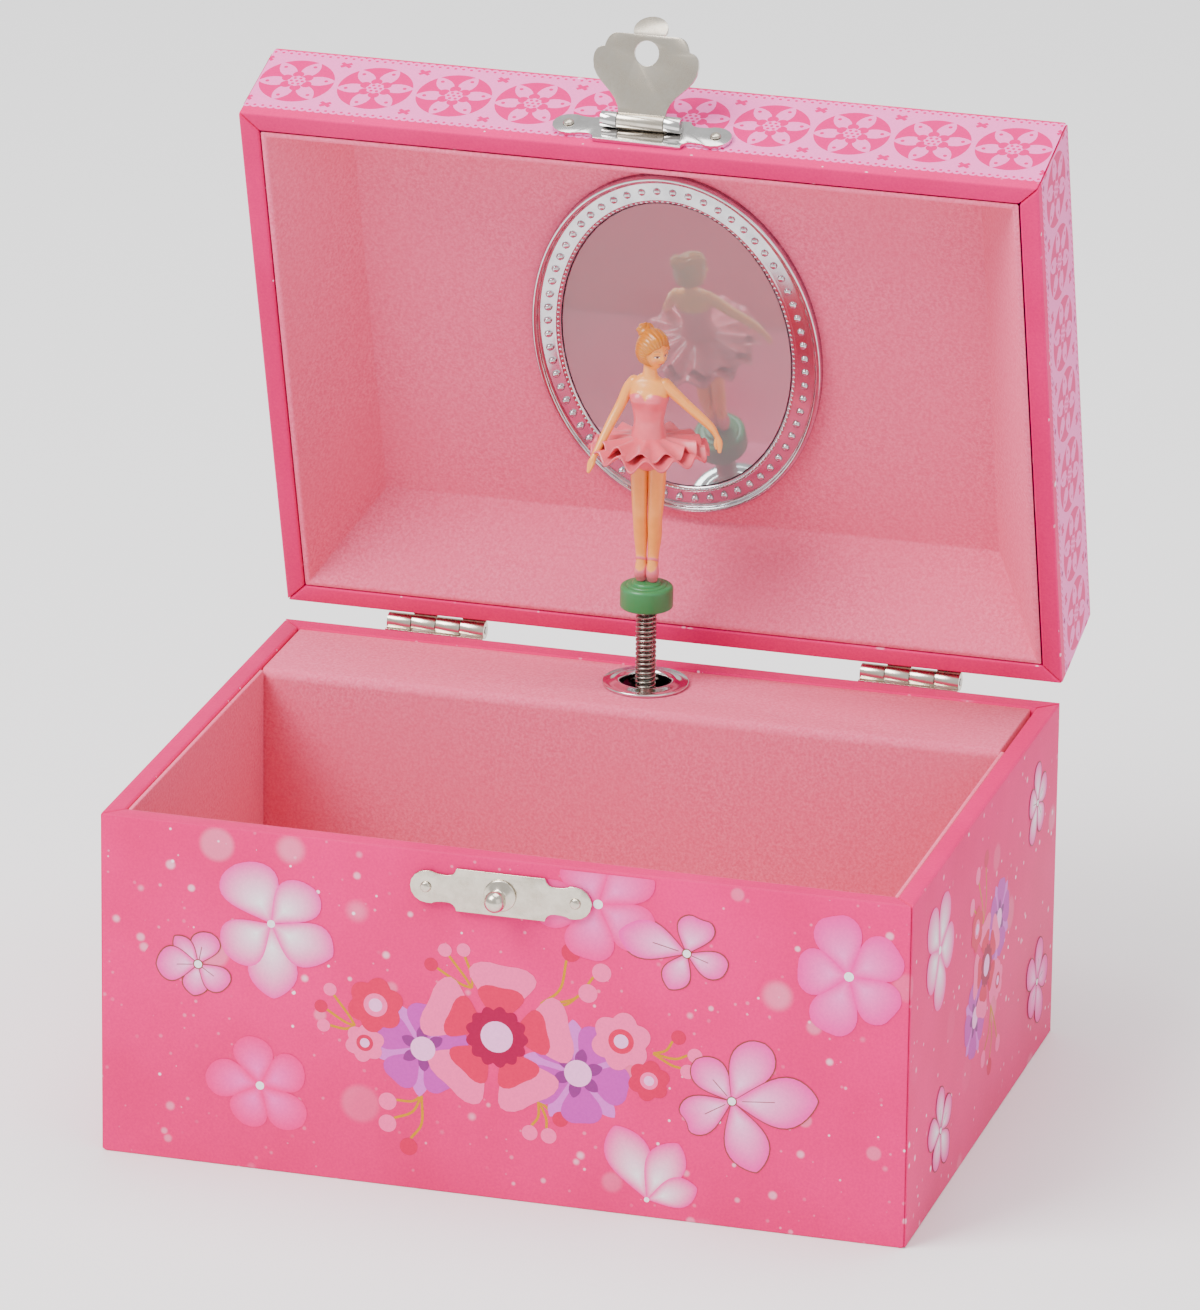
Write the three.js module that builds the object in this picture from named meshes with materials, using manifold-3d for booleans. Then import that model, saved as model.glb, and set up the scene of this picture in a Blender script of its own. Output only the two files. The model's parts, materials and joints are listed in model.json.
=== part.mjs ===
// A wind-up musical jewellery box. A small dancer on a coil spring turns on the movement's drive
// spindle, in front of an oval mirror in the open lid.
// Millimetres. +X is to the right seen from the front, +Y to the back, +Z up. The origin is the
// centre of the box's underside, and the lid stands open.
import * as THREE from "three";
import { ConvexGeometry } from "three/addons/geometries/ConvexGeometry.js";
import { mergeVertices } from "three/addons/utils/BufferGeometryUtils.js";
import Module from "manifold-3d";

const wasm = await Module();
wasm.setup();

// ---------- Driving dimensions ----------
// Case and lid
const boxWidth = 152;
const boxDepth = 110;
const baseHeight = 66;
const lidHeight = 23;
const board = 3.7;
const liningCard = 0.8;
const lidOpenAngle = THREE.MathUtils.degToRad(74);
const platformDepth = 23.7;
const platformBoard = 2;
const platformEdgeRadius = 1.8;
const platformDrop = 0.4;
const platformLeftGap = 0.3;
const platformRightGap = 1.1;
const traySlopeInset = 11;
const trayRimInset = 0.1;
const trayCard = 1.1;

// Clearances
const glueGap = 0.1;
const lidGap = 0.3;
const runningGap = 0.15;

// Lid hinges
const hingeSpacing = 93;
const hingeLength = 19.3;
const knuckleCount = 4;
const barrelRadius = 1.7;
const hingePinRadius = 0.6;
const leafThickness = 0.7;
const leafHeight = 8.5;
const hingeAxisBack = 2.6;
const hingeAxisRise = 1;

// Catch, hasp and their nails
const plateHalfWidth = 17;
const plateMiddle = 8.3;
const plateHalfHeight = 4.1;
const plateWaist = 2.6;
const plateEndRadius = 3.1;
const plateThickness = 0.8;
const catchDrop = 6.6;
const nailSpacing = 28;
const nailRadius = 1.1;
const ballRadius = 2;
const ballHeight = 3.4;
const collarRadius = 3;
const knobNeckRadius = 1.2;
const haspAxisRise = 6;
const haspBarrelRadius = 1.5;
const haspPinRadius = 0.6;
const haspNeck = 4.4;
const haspLug = 3;
const haspLobe = 10;
const haspTip = 3.4;
const haspOpenAngle = THREE.MathUtils.degToRad(121);
const keeperHoleRadius = 2.35;
const thumbLipRadius = 3.2;
const thumbLipAngle = Math.PI / 4;

// Mirror
const mirrorWidth = 56;
const mirrorHeight = 75;
const mirrorBand = 5.8;
const mirrorFrameDepth = 1.8;
const mirrorGlass = 1;
const mirrorShift = -1;

// Dancer, spring and eyelet
const spindleX = -1;
const spindleFromBack = 9;
const eyeletRadius = 8.2;
const eyeletHoleRadius = 4.75;
const eyeletWall = 0.7;
const eyeletRise = 1.1;
const springRadius = 2;
const springWire = 0.7;
const springPitch = 0.92;
const springRise = 15.3;
const springGrip = 0.15;
const puckRadius = 5;
const puckHeight = 4.4;
const puckEdge = 0.6;
const puckStud = 3.8;
const bossRadius = 2.4;
const bossHeight = 0.7;
const dancerHeight = 51;
const tutuRadius = 11.6;
const headRadius = 3.9;
const bunRadius = 1.9;

// Movement: m stands for the gear module, tooth size
const movementLift = 0.8;
const bedplateThickness = 1.4;
const bedplateLeft = 25;
const bedplateRight = 20;
const bedplateFoot = 11.8;
const bearingTabHalf = 4;
const bearingTabThickness = 1.2;
const arborRadius = 1.5;
const pressFit = 0.05;
const driveModule = 0.8;
const pinionTeeth = 10;
const crownTeeth = 30;
const fineModule = 0.45;
const cylinderWheelTeeth = 30;
const governorPinionTeeth = 10;
const wormWheelTeeth = 16;
const cylinderRadius = 5.6;
const cylinderLength = 12;
const pinRise = 0.6;
const notes = 18;
const springCaseRadius = 9.2;
const springCaseWall = 0.8;
const springCaseDepth = 12;
const springCaseLeg = 1.6;
const springCaseLegHalf = 2.4;
const mainspringTurns = 5;
const mainspringStrip = 0.45;
const wheelWidth = 1.1;
const pinionWidth = 2.2;
const spindleRadius = 1.1;
const pivotRadius = 0.6;
const finePivotRadius = 0.5;
const wormRadius = 1.3;
const wormSides = 12;
const fanRadius = 4.2;
const governorFrameThickness = 1.2;
const governorFrontReach = 7.1;
const keyStemRadius = 2.8;
const keyReach = 17;
const keyHalfWidth = 11;
const keyThickness = 1.8;
const keyEyeRadius = 1.7;
const screwHeadRadius = 2.6;
const screwShankRadius = 1.15;
const screwClearance = 0.3;
const combThickness = 0.9;
const combTooth = 10.5;
const combScrewInset = 14;

// ---------- Places worked out from them ----------
const innerX = boxWidth / 2 - board;
const backFace = boxDepth / 2;
const frontFace = -boxDepth / 2;
const innerBack = backFace - board;
const innerFront = frontFace + board;
const partitionFront = innerBack - platformDepth;
const platformTop = baseHeight - platformDrop;
const spindleY = innerBack - spindleFromBack;
const hingeY = backFace + hingeAxisBack;
const hingeZ = baseHeight + hingeAxisRise;
const lidBottom = baseHeight + lidGap;
const lidTop = lidBottom + lidHeight;
const catchZ = baseHeight - catchDrop;
const haspZ = baseHeight + haspAxisRise;
const haspY = frontFace - glueGap - plateThickness - runningGap - haspBarrelRadius;
const trayFloor = lidTop - board - trayCard - glueGap;
const trayDepth = trayFloor - lidBottom - trayRimInset;
const springBottom = platformTop + springRise - Math.floor(springRise / springPitch + 4) * springPitch;
const puckBottom = platformTop + springRise + glueGap;
const feetZ = puckBottom + puckHeight + bossHeight;
const gripRadius = springRadius - springWire - springGrip;

const crownRadius = (driveModule * crownTeeth) / 2;
const crownOuter = crownRadius + 1.3;
const pinionRadius = (driveModule * pinionTeeth) / 2;
const arborZ = board + movementLift + crownOuter;
const pinionZ = arborZ + crownRadius;
const crownFace = spindleY + pinionRadius + driveModule * 1.06;
const bedplateBack = innerBack - glueGap;
const bedplateFront = bedplateBack - bedplateThickness;
const wheelZ = pinionZ + 1.7;
const drumZ = pinionZ + 3.9;
const upperBearingZ = drumZ + cylinderLength + 0.9;
const cylinderWheelRadius = (fineModule * cylinderWheelTeeth) / 2;
const governorPinionRadius = (fineModule * governorPinionTeeth) / 2;
const wormWheelRadius = (fineModule * wormWheelTeeth) / 2;
const governorAngle = -Math.PI / 6;
const governorReach = cylinderWheelRadius + governorPinionRadius + 0.1;
const governorX = spindleX + governorReach * Math.cos(governorAngle);
const governorY = spindleY + governorReach * Math.sin(governorAngle);
const wormX = governorX + wormWheelRadius + wormRadius + 0.05;
const springCaseFront = crownFace - 2.1 - springCaseDepth;
const holderBottom = platformTop - 6.5;

// ---------- Geometry helpers ----------
const AXES = {
  x: new THREE.Vector3(1, 0, 0),
  y: new THREE.Vector3(0, 1, 0),
  z: new THREE.Vector3(0, 0, 1),
};

// A closed geometry as a solid: shared vertices merged, and triangles with no area left out.
function toSolid(geometry) {
  const bare = new THREE.BufferGeometry();
  bare.setAttribute("position", geometry.getAttribute("position").clone());
  bare.setIndex(geometry.index);
  const merged = mergeVertices(bare, 1e-4);
  const corners = merged.index.array;
  const kept = [];
  for (let i = 0; i < corners.length; i += 3) {
    const [a, b, c] = corners.slice(i, i + 3);
    if (a !== b && b !== c && c !== a) kept.push(a, b, c);
  }
  const vertProperties = merged.getAttribute("position").array;
  return new wasm.Manifold(new wasm.Mesh({ numProp: 3, vertProperties, triVerts: new Uint32Array(kept) }));
}

function toGeometry(made) {
  const mesh = made.getMesh();
  const geometry = new THREE.BufferGeometry();
  geometry.setAttribute("position", new THREE.BufferAttribute(mesh.vertProperties, 3));
  geometry.setIndex(new THREE.BufferAttribute(mesh.triVerts, 1));
  return geometry;
}

function join(...pieces) {
  return toGeometry(pieces.map(toSolid).reduce((sum, piece) => sum.add(piece)));
}

function cut(piece, ...tools) {
  return toGeometry(tools.map(toSolid).reduce((left, tool) => left.subtract(tool), toSolid(piece)));
}

function box([x0, x1], [y0, y1], [z0, z1]) {
  const geometry = new THREE.BoxGeometry(x1 - x0, y1 - y0, z1 - z0);
  return geometry.translate((x0 + x1) / 2, (y0 + y1) / 2, (z0 + z1) / 2);
}

// A geometry made along +Y, turned to an axis and set down at a point.
function stand(geometry, axis, [x, y, z]) {
  const turn = new THREE.Quaternion().setFromUnitVectors(AXES.y, axis);
  return geometry.applyQuaternion(turn).translate(x, y, z);
}

// A round rod along x, y or z from start to end; [a, b] are its other two coordinates in order.
function rod(name, radius, [start, end], [a, b], sides = 20) {
  const middle = (start + end) / 2;
  const place = { x: [middle, a, b], y: [a, middle, b], z: [a, b, middle] }[name];
  return stand(new THREE.CylinderGeometry(radius, radius, end - start, sides), AXES[name], place);
}

// A turned piece: [radius, height] pairs that start and end on the axis, bottom first.
function turned(profile, axis, place, sides = 24) {
  const points = profile.map(([radius, height]) => new THREE.Vector2(radius, height));
  return stand(new THREE.LatheGeometry(points, sides), axis, place);
}

// A flat outline drawn in X and Z, given its thickness towards +Y from the plane y.
function plateXZ(shape, y, thickness, curveSegments = 4) {
  const geometry = new THREE.ExtrudeGeometry(shape, { depth: thickness, bevelEnabled: false, curveSegments });
  return geometry.rotateX(Math.PI / 2).translate(0, y + thickness, 0);
}

function circle(x, y, radius, sides) {
  const points = Array.from({ length: sides }, (_, i) => {
    const angle = (i / sides) * 2 * Math.PI;
    return new THREE.Vector2(x + radius * Math.cos(angle), y + radius * Math.sin(angle));
  });
  return new THREE.Path(points);
}

function polygon(points) {
  return new THREE.Shape(points.map(([x, y]) => new THREE.Vector2(x, y)));
}

// A gear's outline, one tooth centred on the angle phase.
function gearShape(teeth, module, { tip = 0.8, root = 1.05, thickness = 0.4, phase = 0, bore = 0 }) {
  const radius = (teeth * module) / 2;
  const pitch = (2 * Math.PI) / teeth;
  const rings = [
    [radius - root * module, -thickness * 0.66],
    [radius + tip * module, -thickness * 0.3],
    [radius + tip * module, thickness * 0.3],
    [radius - root * module, thickness * 0.66],
  ];
  const points = [];
  for (let tooth = 0; tooth < teeth; tooth++) {
    for (const [ring, share] of rings) {
      const angle = phase + (tooth + share) * pitch;
      points.push([ring * Math.cos(angle), ring * Math.sin(angle)]);
    }
  }
  const shape = polygon(points);
  if (bore > 0) shape.holes.push(circle(0, 0, bore, 16));
  return shape;
}

function gear(teeth, module, options, width, [x, y, z]) {
  const shape = gearShape(teeth, module, options);
  const geometry = new THREE.ExtrudeGeometry(shape, { depth: width, bevelEnabled: false });
  return geometry.translate(x, y, z - width / 2);
}

// A round bar of the given radius along a curve.
function bar(curve, radius, steps, sides) {
  const section = new THREE.Shape(circle(0, 0, radius, sides).getPoints());
  return new THREE.ExtrudeGeometry(section, { steps, extrudePath: curve, bevelEnabled: false });
}

// ---------- Finishes ----------
function finish(color, roughness, metalness = 0) {
  return new THREE.MeshStandardMaterial({ color, roughness, metalness });
}

const finishes = {
  paper: finish("#f965a3", 0.5),
  lace: finish("#fb8abb", 0.5),
  flock: finish("#e08f98", 0.95),
  nickel: finish("#cfc6b8", 0.3, 1),
  chrome: finish("#d8d8d8", 0.1, 1),
  mirror: finish("#c8d0d4", 0.03, 1),
  green: finish("#5c9e69", 0.35),
  skin: finish("#f9be86", 0.35),
  brass: finish("#c8a04c", 0.35, 1),
  steel: finish("#a8a8a4", 0.4, 1),
  zinc: finish("#8f9298", 0.55, 1),
  nylon: finish("#f0ece0", 0.5),
};

function add(group, name, geometry, material) {
  const mesh = new THREE.Mesh(geometry, material);
  mesh.name = name;
  group.add(mesh);
}

// ---------- Case ----------
// One wall of a board box with mitred ends, lying along X with its outer face at -Y.
function mitredWall(length, depth, [bottom, top]) {
  const half = length / 2 - glueGap;
  const outer = -depth / 2;
  const shape = polygon([
    [-half, outer],
    [half, outer],
    [half - board, outer + board],
    [-half + board, outer + board],
  ]);
  const wall = new THREE.ExtrudeGeometry(shape, { depth: top - bottom, bevelEnabled: false });
  return wall.translate(0, 0, bottom);
}

// Four mitred walls with a board let in between them at the bottom or the top.
function boardBox([bottom, top], boardSpan) {
  const heights = [bottom, top];
  const reachX = innerX - glueGap;
  const reachY = innerBack - glueGap;
  return {
    front: mitredWall(boxWidth, boxDepth, heights),
    back: mitredWall(boxWidth, boxDepth, heights).rotateZ(Math.PI),
    left: mitredWall(boxDepth, boxWidth, heights).rotateZ(-Math.PI / 2),
    right: mitredWall(boxDepth, boxWidth, heights).rotateZ(Math.PI / 2),
    flat: box([-reachX, reachX], [-reachY, reachY], boardSpan),
  };
}

// The movement's mounting screws, seen from the winding arbor.
const screwPlaces = [
  [-21, -6],
  [16.5, -7],
  [14.5, 26],
].map(([x, z]) => [spindleX + x, arborZ + z]);

function addCase(group) {
  const walls = boardBox([0, baseHeight], [0, board]);
  const through = [innerBack - 1, backFace + 1];
  const screwHole = screwShankRadius + screwClearance;
  const screwHoles = screwPlaces.map((place) => rod("y", screwHole, through, place, 12));
  const arborHole = rod("y", arborRadius + 0.8, through, [spindleX, arborZ]);
  add(group, "case_front_panel", walls.front, finishes.paper);
  add(group, "case_back_panel", cut(walls.back, arborHole, ...screwHoles), finishes.paper);
  add(group, "case_left_panel", walls.left, finishes.paper);
  add(group, "case_right_panel", walls.right, finishes.paper);
  add(group, "case_bottom_panel", walls.flat, finishes.paper);
}

// Flocked cards on the floor and the three outer walls of the front compartment.
function addCaseLining(group) {
  const outerX = innerX - glueGap;
  const outerY = innerFront + glueGap;
  const backEdge = partitionFront - glueGap;
  const floor = board + glueGap;
  const cardFoot = floor + liningCard + glueGap;
  const heights = [cardFoot, platformTop];
  const sides = [outerY + liningCard + glueGap, backEdge];
  const flock = finishes.flock;
  add(group, "floor_lining", box([-outerX, outerX], [outerY, backEdge], [floor, floor + liningCard]), flock);
  add(group, "front_lining", box([-outerX, outerX], [outerY, outerY + liningCard], heights), flock);
  add(group, "left_lining", box([-outerX, -outerX + liningCard], sides, heights), flock);
  add(group, "right_lining", box([outerX - liningCard, outerX], sides, heights), flock);
}

// The cover over the movement: a partition and a flat top in one, with a rounded front edge.
function addPlatform(group) {
  const back = innerBack - glueGap;
  const foot = board + glueGap;
  const r = platformEdgeRadius;
  const shape = new THREE.Shape();
  shape.moveTo(partitionFront, foot);
  shape.lineTo(partitionFront + platformBoard, foot);
  shape.lineTo(partitionFront + platformBoard, platformTop - platformBoard);
  shape.lineTo(back, platformTop - platformBoard);
  shape.lineTo(back, platformTop);
  shape.absarc(partitionFront + r, platformTop - r, r, Math.PI / 2, Math.PI);
  const [left, right] = [-innerX + platformLeftGap, innerX - platformRightGap];
  const cover = new THREE.ExtrudeGeometry(shape, { depth: right - left, bevelEnabled: false, curveSegments: 8 });
  cover.rotateX(Math.PI / 2).rotateZ(Math.PI / 2).translate(left, 0, 0);
  const hole = rod("z", eyeletHoleRadius + 1, [platformTop - 5, platformTop + 1], [spindleX, spindleY]);
  add(group, "platform_cover", cut(cover, hole), finishes.flock);
}

// A rolled eyelet that lines the hole for the spring.
function addEyelet(group) {
  const shank = eyeletHoleRadius + eyeletWall;
  const under = -platformBoard - 0.6;
  const points = [
    [eyeletHoleRadius, under],
    [shank, under],
    [shank, glueGap],
    [eyeletRadius, glueGap],
    [eyeletRadius - 0.3, 0.7],
    [(eyeletRadius + eyeletHoleRadius) / 2, eyeletRise],
    [eyeletHoleRadius + 0.4, 0.8],
    [eyeletHoleRadius, 0.2],
    [eyeletHoleRadius, under],
  ];
  add(group, "spring_eyelet", turned(points, AXES.z, [spindleX, spindleY, platformTop]), finishes.chrome);
}

// ---------- Hinges ----------
// One leaf: a flat plate on the back face, with every second knuckle of the barrel.
function hingeLeaf(centreX, onLid) {
  const up = onLid ? 1 : -1;
  const left = centreX - hingeLength / 2;
  const pitch = hingeLength / knuckleCount;
  const plateY = [backFace + glueGap, backFace + glueGap + leafThickness];
  const near = hingeZ + up * 0.85;
  const span = (a, b) => [Math.min(a, b), Math.max(a, b)];
  const pieces = [box([left, left + hingeLength], plateY, span(near, near + up * leafHeight))];
  for (let i = onLid ? 1 : 0; i < knuckleCount; i += 2) {
    const reach = [left + i * pitch + runningGap / 2, left + (i + 1) * pitch - runningGap / 2];
    pieces.push(rod("x", barrelRadius, reach, [hingeY, hingeZ], 16));
    pieces.push(box(reach, [plateY[0], hingeY - 0.9], span(near, near + up * leafThickness)));
  }
  const bore = hingePinRadius + runningGap;
  return cut(join(...pieces), rod("x", bore, [left - 1, left + hingeLength + 1], [hingeY, hingeZ], 16));
}

function hingePin(centreX) {
  const half = hingeLength / 2;
  return rod("x", hingePinRadius, [centreX - half, centreX + half], [hingeY, hingeZ], 12);
}

const hinges = [
  ["left", -hingeSpacing / 2],
  ["right", hingeSpacing / 2],
];

// ---------- Catch and hasp ----------
// A fitting's outline: a raised middle, a waist at each side and a round end for each nail.
function fittingShape(halfHeight) {
  const endX = plateHalfWidth - plateEndRadius;
  const waistX = plateMiddle + 1.8;
  const shape = new THREE.Shape();
  shape.moveTo(-plateMiddle, -halfHeight);
  shape.lineTo(plateMiddle, -halfHeight);
  shape.quadraticCurveTo(plateMiddle + 0.3, -plateWaist, waistX, -plateWaist);
  shape.quadraticCurveTo(endX - 1.6, -plateWaist, endX - 1, -plateEndRadius);
  shape.absarc(endX, 0, plateEndRadius, -Math.PI / 2, Math.PI / 2);
  shape.lineTo(endX - 1, plateEndRadius);
  shape.quadraticCurveTo(endX - 1.6, plateWaist, waistX, plateWaist);
  shape.quadraticCurveTo(plateMiddle + 0.3, plateWaist, plateMiddle, halfHeight);
  shape.lineTo(-plateMiddle, halfHeight);
  shape.quadraticCurveTo(-plateMiddle - 0.3, plateWaist, -waistX, plateWaist);
  shape.quadraticCurveTo(-endX + 1.6, plateWaist, -endX + 1, plateEndRadius);
  shape.absarc(-endX, 0, plateEndRadius, Math.PI / 2, (3 * Math.PI) / 2);
  shape.lineTo(-endX + 1, -plateEndRadius);
  shape.quadraticCurveTo(-endX + 1.6, -plateWaist, -waistX, -plateWaist);
  shape.quadraticCurveTo(-plateMiddle - 0.3, -plateWaist, -plateMiddle, -halfHeight);
  return shape;
}

const FRONT = new THREE.Vector3(0, -1, 0);
const fittingFace = frontFace - glueGap - plateThickness;

function fittingPlate(z, halfHeight) {
  return plateXZ(fittingShape(halfHeight), fittingFace, plateThickness).translate(0, 0, z);
}

function domeNail(x, z) {
  const profile = [
    [0, 0],
    [nailRadius, 0],
    [nailRadius * 0.75, nailRadius * 0.4],
    [0, nailRadius * 0.6],
  ];
  return turned(profile, FRONT, [x, fittingFace - glueGap, z], 12);
}

function addNails(group, name, z) {
  add(group, name + "_nail_left", domeNail(-nailSpacing / 2, z), finishes.nickel);
  add(group, name + "_nail_right", domeNail(nailSpacing / 2, z), finishes.nickel);
}

// A ball knob on a stepped collar, which the hasp's hole snaps over.
function catchKnob() {
  const profile = [
    [0, 0],
    [collarRadius, 0],
    [collarRadius, 0.5],
    [collarRadius - 0.7, 0.9],
    [knobNeckRadius + 0.2, 1.1],
    [knobNeckRadius, ballHeight - ballRadius * 0.8],
  ];
  const steps = 7;
  const undercut = 0.9;
  for (let i = 0; i < steps; i++) {
    const angle = -undercut + (i / steps) * (Math.PI / 2 + undercut);
    profile.push([ballRadius * Math.cos(angle), ballHeight + ballRadius * Math.sin(angle)]);
  }
  profile.push([0, ballHeight + ballRadius]);
  return turned(profile, FRONT, [0, fittingFace - glueGap, catchZ], 20);
}

function addCatch(group) {
  add(group, "catch_plate", fittingPlate(catchZ, plateHalfHeight), finishes.nickel);
  add(group, "catch_knob", catchKnob(), finishes.nickel);
  addNails(group, "catch", catchZ);
}

// The hasp's fixed half: a plate with two curled lugs that hold the pin.
function haspPlate() {
  const reachIn = haspNeck + runningGap;
  const pieces = [fittingPlate(haspZ, plateHalfHeight)];
  for (const side of [-1, 1]) {
    const reach = [side * reachIn, side * (reachIn + haspLug)].sort((a, b) => a - b);
    pieces.push(rod("x", haspBarrelRadius, reach, [haspY, haspZ], 16));
    pieces.push(box(reach, [haspY, fittingFace + 0.2], [haspZ + 0.2, haspZ + haspBarrelRadius]));
  }
  const end = reachIn + haspLug + 1;
  return cut(join(...pieces), rod("x", haspPinRadius + runningGap, [-end, end], [haspY, haspZ], 16));
}

// The hasp's flap hangs from the pin: a narrow neck, a lobe to each side and a bent thumb lip.
function haspFlap() {
  const hole = haspZ - catchZ;
  const tip = hole + haspTip;
  const halves = [1, -1].map((side) => {
    const shape = new THREE.Shape();
    shape.moveTo(0, -haspBarrelRadius * 0.6);
    shape.lineTo(side * haspNeck, -haspBarrelRadius * 0.6);
    shape.bezierCurveTo(side * haspNeck, -hole * 0.45, side * haspLobe, -hole * 0.5, side * haspLobe, 1.9 - hole);
    shape.quadraticCurveTo(side * haspLobe, -hole - 0.6, side * (haspLobe - 2), -hole - 0.8);
    shape.quadraticCurveTo(side * (haspLobe - 2.6), -tip, side * (haspLobe - 4.4), -tip);
    shape.lineTo(0, -tip);
    shape.lineTo(0, -haspBarrelRadius * 0.6);
    const flap = plateXZ(shape, haspY - plateThickness / 2, plateThickness, 8);
    return flap.translate(-side * 0.001, 0, haspZ);
  });
  const lip = rod("y", thumbLipRadius, [0, plateThickness], [0, 1.2 - thumbLipRadius], 20);
  lip.rotateX(-thumbLipAngle).translate(0, haspY - plateThickness / 2, haspZ - tip + 0.9);
  const knuckle = rod("x", haspBarrelRadius, [-haspNeck, haspNeck], [haspY, haspZ], 16);
  const bore = rod("x", haspPinRadius + runningGap, [-haspNeck - 1, haspNeck + 1], [haspY, haspZ], 16);
  const keeper = rod("y", keeperHoleRadius, [haspY - 5, haspY + 5], [0, catchZ], 20);
  const behind = box([-haspLobe, haspLobe], [haspY + plateThickness / 2, haspY + 5], [haspZ - tip - 5, catchZ]);
  return cut(join(...halves, lip, knuckle), bore, keeper, behind);
}

// ---------- Lid, made closed and then swung open with its group ----------
function addLidBoards(group) {
  const walls = boardBox([lidBottom, lidTop], [lidTop - board, lidTop]);
  add(group, "lid_front_panel", walls.front, finishes.lace);
  add(group, "lid_back_panel", walls.back, finishes.paper);
  add(group, "lid_left_panel", walls.left, finishes.lace);
  add(group, "lid_right_panel", walls.right, finishes.lace);
  add(group, "lid_top_panel", walls.flat, finishes.paper);
}

// A block with sloping sides between two rectangles, each [half width, half depth, z].
function slopedBlock(...ends) {
  const corners = [];
  for (const [x, y, z] of ends) {
    for (const [sx, sy] of [[-1, -1], [1, -1], [1, 1], [-1, 1]]) {
      corners.push(new THREE.Vector3(sx * x, sy * y, z));
    }
  }
  return new ConvexGeometry(corners);
}

// The lid's lining is one folded flocked card: four sloping sides round a flat panel.
function lidLining() {
  const rim = trayFloor - trayDepth + glueGap;
  const slope = traySlopeInset / trayDepth;
  const [outX, outY] = [innerX - glueGap, innerBack - glueGap];
  const top = trayFloor + trayCard;
  const outer = slopedBlock(
    [outX, outY, rim],
    [outX - (top - rim) * slope, outY - (top - rim) * slope, top],
  );
  const [inX, inY] = [outX - trayCard, outY - trayCard];
  const inner = slopedBlock(
    [inX + slope, inY + slope, rim - 1],
    [inX - (trayFloor - rim) * slope, inY - (trayFloor - rim) * slope, trayFloor],
  );
  return cut(outer, inner);
}

function ellipse(halfWidth, halfDepth, sides) {
  const path = new THREE.EllipseCurve(0, mirrorShift, halfWidth, halfDepth);
  return path.getPoints(sides);
}

function addMirror(group) {
  const band = mirrorBand;
  const [outX, outY] = [mirrorWidth / 2, mirrorHeight / 2];
  const ring = new THREE.Shape(ellipse(outX, outY, 48));
  ring.holes.push(new THREE.Path(ellipse(outX - band, outY - band, 48)));
  const frame = new THREE.ExtrudeGeometry(ring, { depth: mirrorFrameDepth, bevelEnabled: false });
  const glass = new THREE.Shape(ellipse(outX - band - glueGap, outY - band - glueGap, 48));
  const pane = new THREE.ExtrudeGeometry(glass, { depth: mirrorGlass, bevelEnabled: false });
  frame.translate(0, 0, trayFloor - glueGap - mirrorFrameDepth);
  pane.translate(0, 0, trayFloor - glueGap - mirrorGlass);
  add(group, "mirror_frame", frame, finishes.chrome);
  add(group, "mirror", pane, finishes.mirror);
}

function addHasp(group) {
  add(group, "hasp_plate", haspPlate(), finishes.nickel);
  addNails(group, "hasp", haspZ);
  const end = haspNeck + runningGap + haspLug;
  add(group, "hasp_pin", rod("x", haspPinRadius, [-end, end], [haspY, haspZ], 12), finishes.steel);
}

// ---------- Spring and dancer ----------
class Helix extends THREE.Curve {
  getPoint(t) {
    const turns = (platformTop + springRise - springBottom - springWire) / springPitch;
    const angle = t * turns * 2 * Math.PI;
    const radius = springRadius - springWire / 2;
    const rise = springBottom + springWire / 2 + t * turns * springPitch;
    return new THREE.Vector3(
      spindleX + radius * Math.cos(angle),
      spindleY + radius * Math.sin(angle),
      rise,
    );
  }
}

function coilSpring() {
  const stepsPerTurn = 8;
  const turns = (platformTop + springRise - springBottom) / springPitch;
  return bar(new Helix(), springWire / 2, Math.round(turns * stepsPerTurn), 4);
}

// The puck under the dancer, with a stud that grips the spring.
function figureBase() {
  const bossTop = puckHeight + bossHeight - glueGap;
  const profile = [
    [0, -puckStud],
    [gripRadius, -puckStud],
    [gripRadius, 0],
    [puckRadius - puckEdge / 2, 0],
    [puckRadius, puckEdge / 2],
    [puckRadius, puckHeight - puckEdge],
    [puckRadius - puckEdge, puckHeight],
    [bossRadius + 0.3, puckHeight],
    [bossRadius, bossTop],
    [0, bossTop],
  ];
  return turned(profile, AXES.z, [spindleX, spindleY, puckBottom]);
}

// A limb or a body part of the dancer, turned round a line between two points.
function limb(from, to, radii, sides = 7) {
  const start = new THREE.Vector3(...from);
  const along = new THREE.Vector3(...to).sub(start);
  const length = along.length();
  const last = radii.length - 1;
  const profile = radii.map((radius, i) => [radius, (i / last) * length]);
  return turned([[0, 0], ...profile, [0, length]], along.normalize(), from, sides);
}

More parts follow.
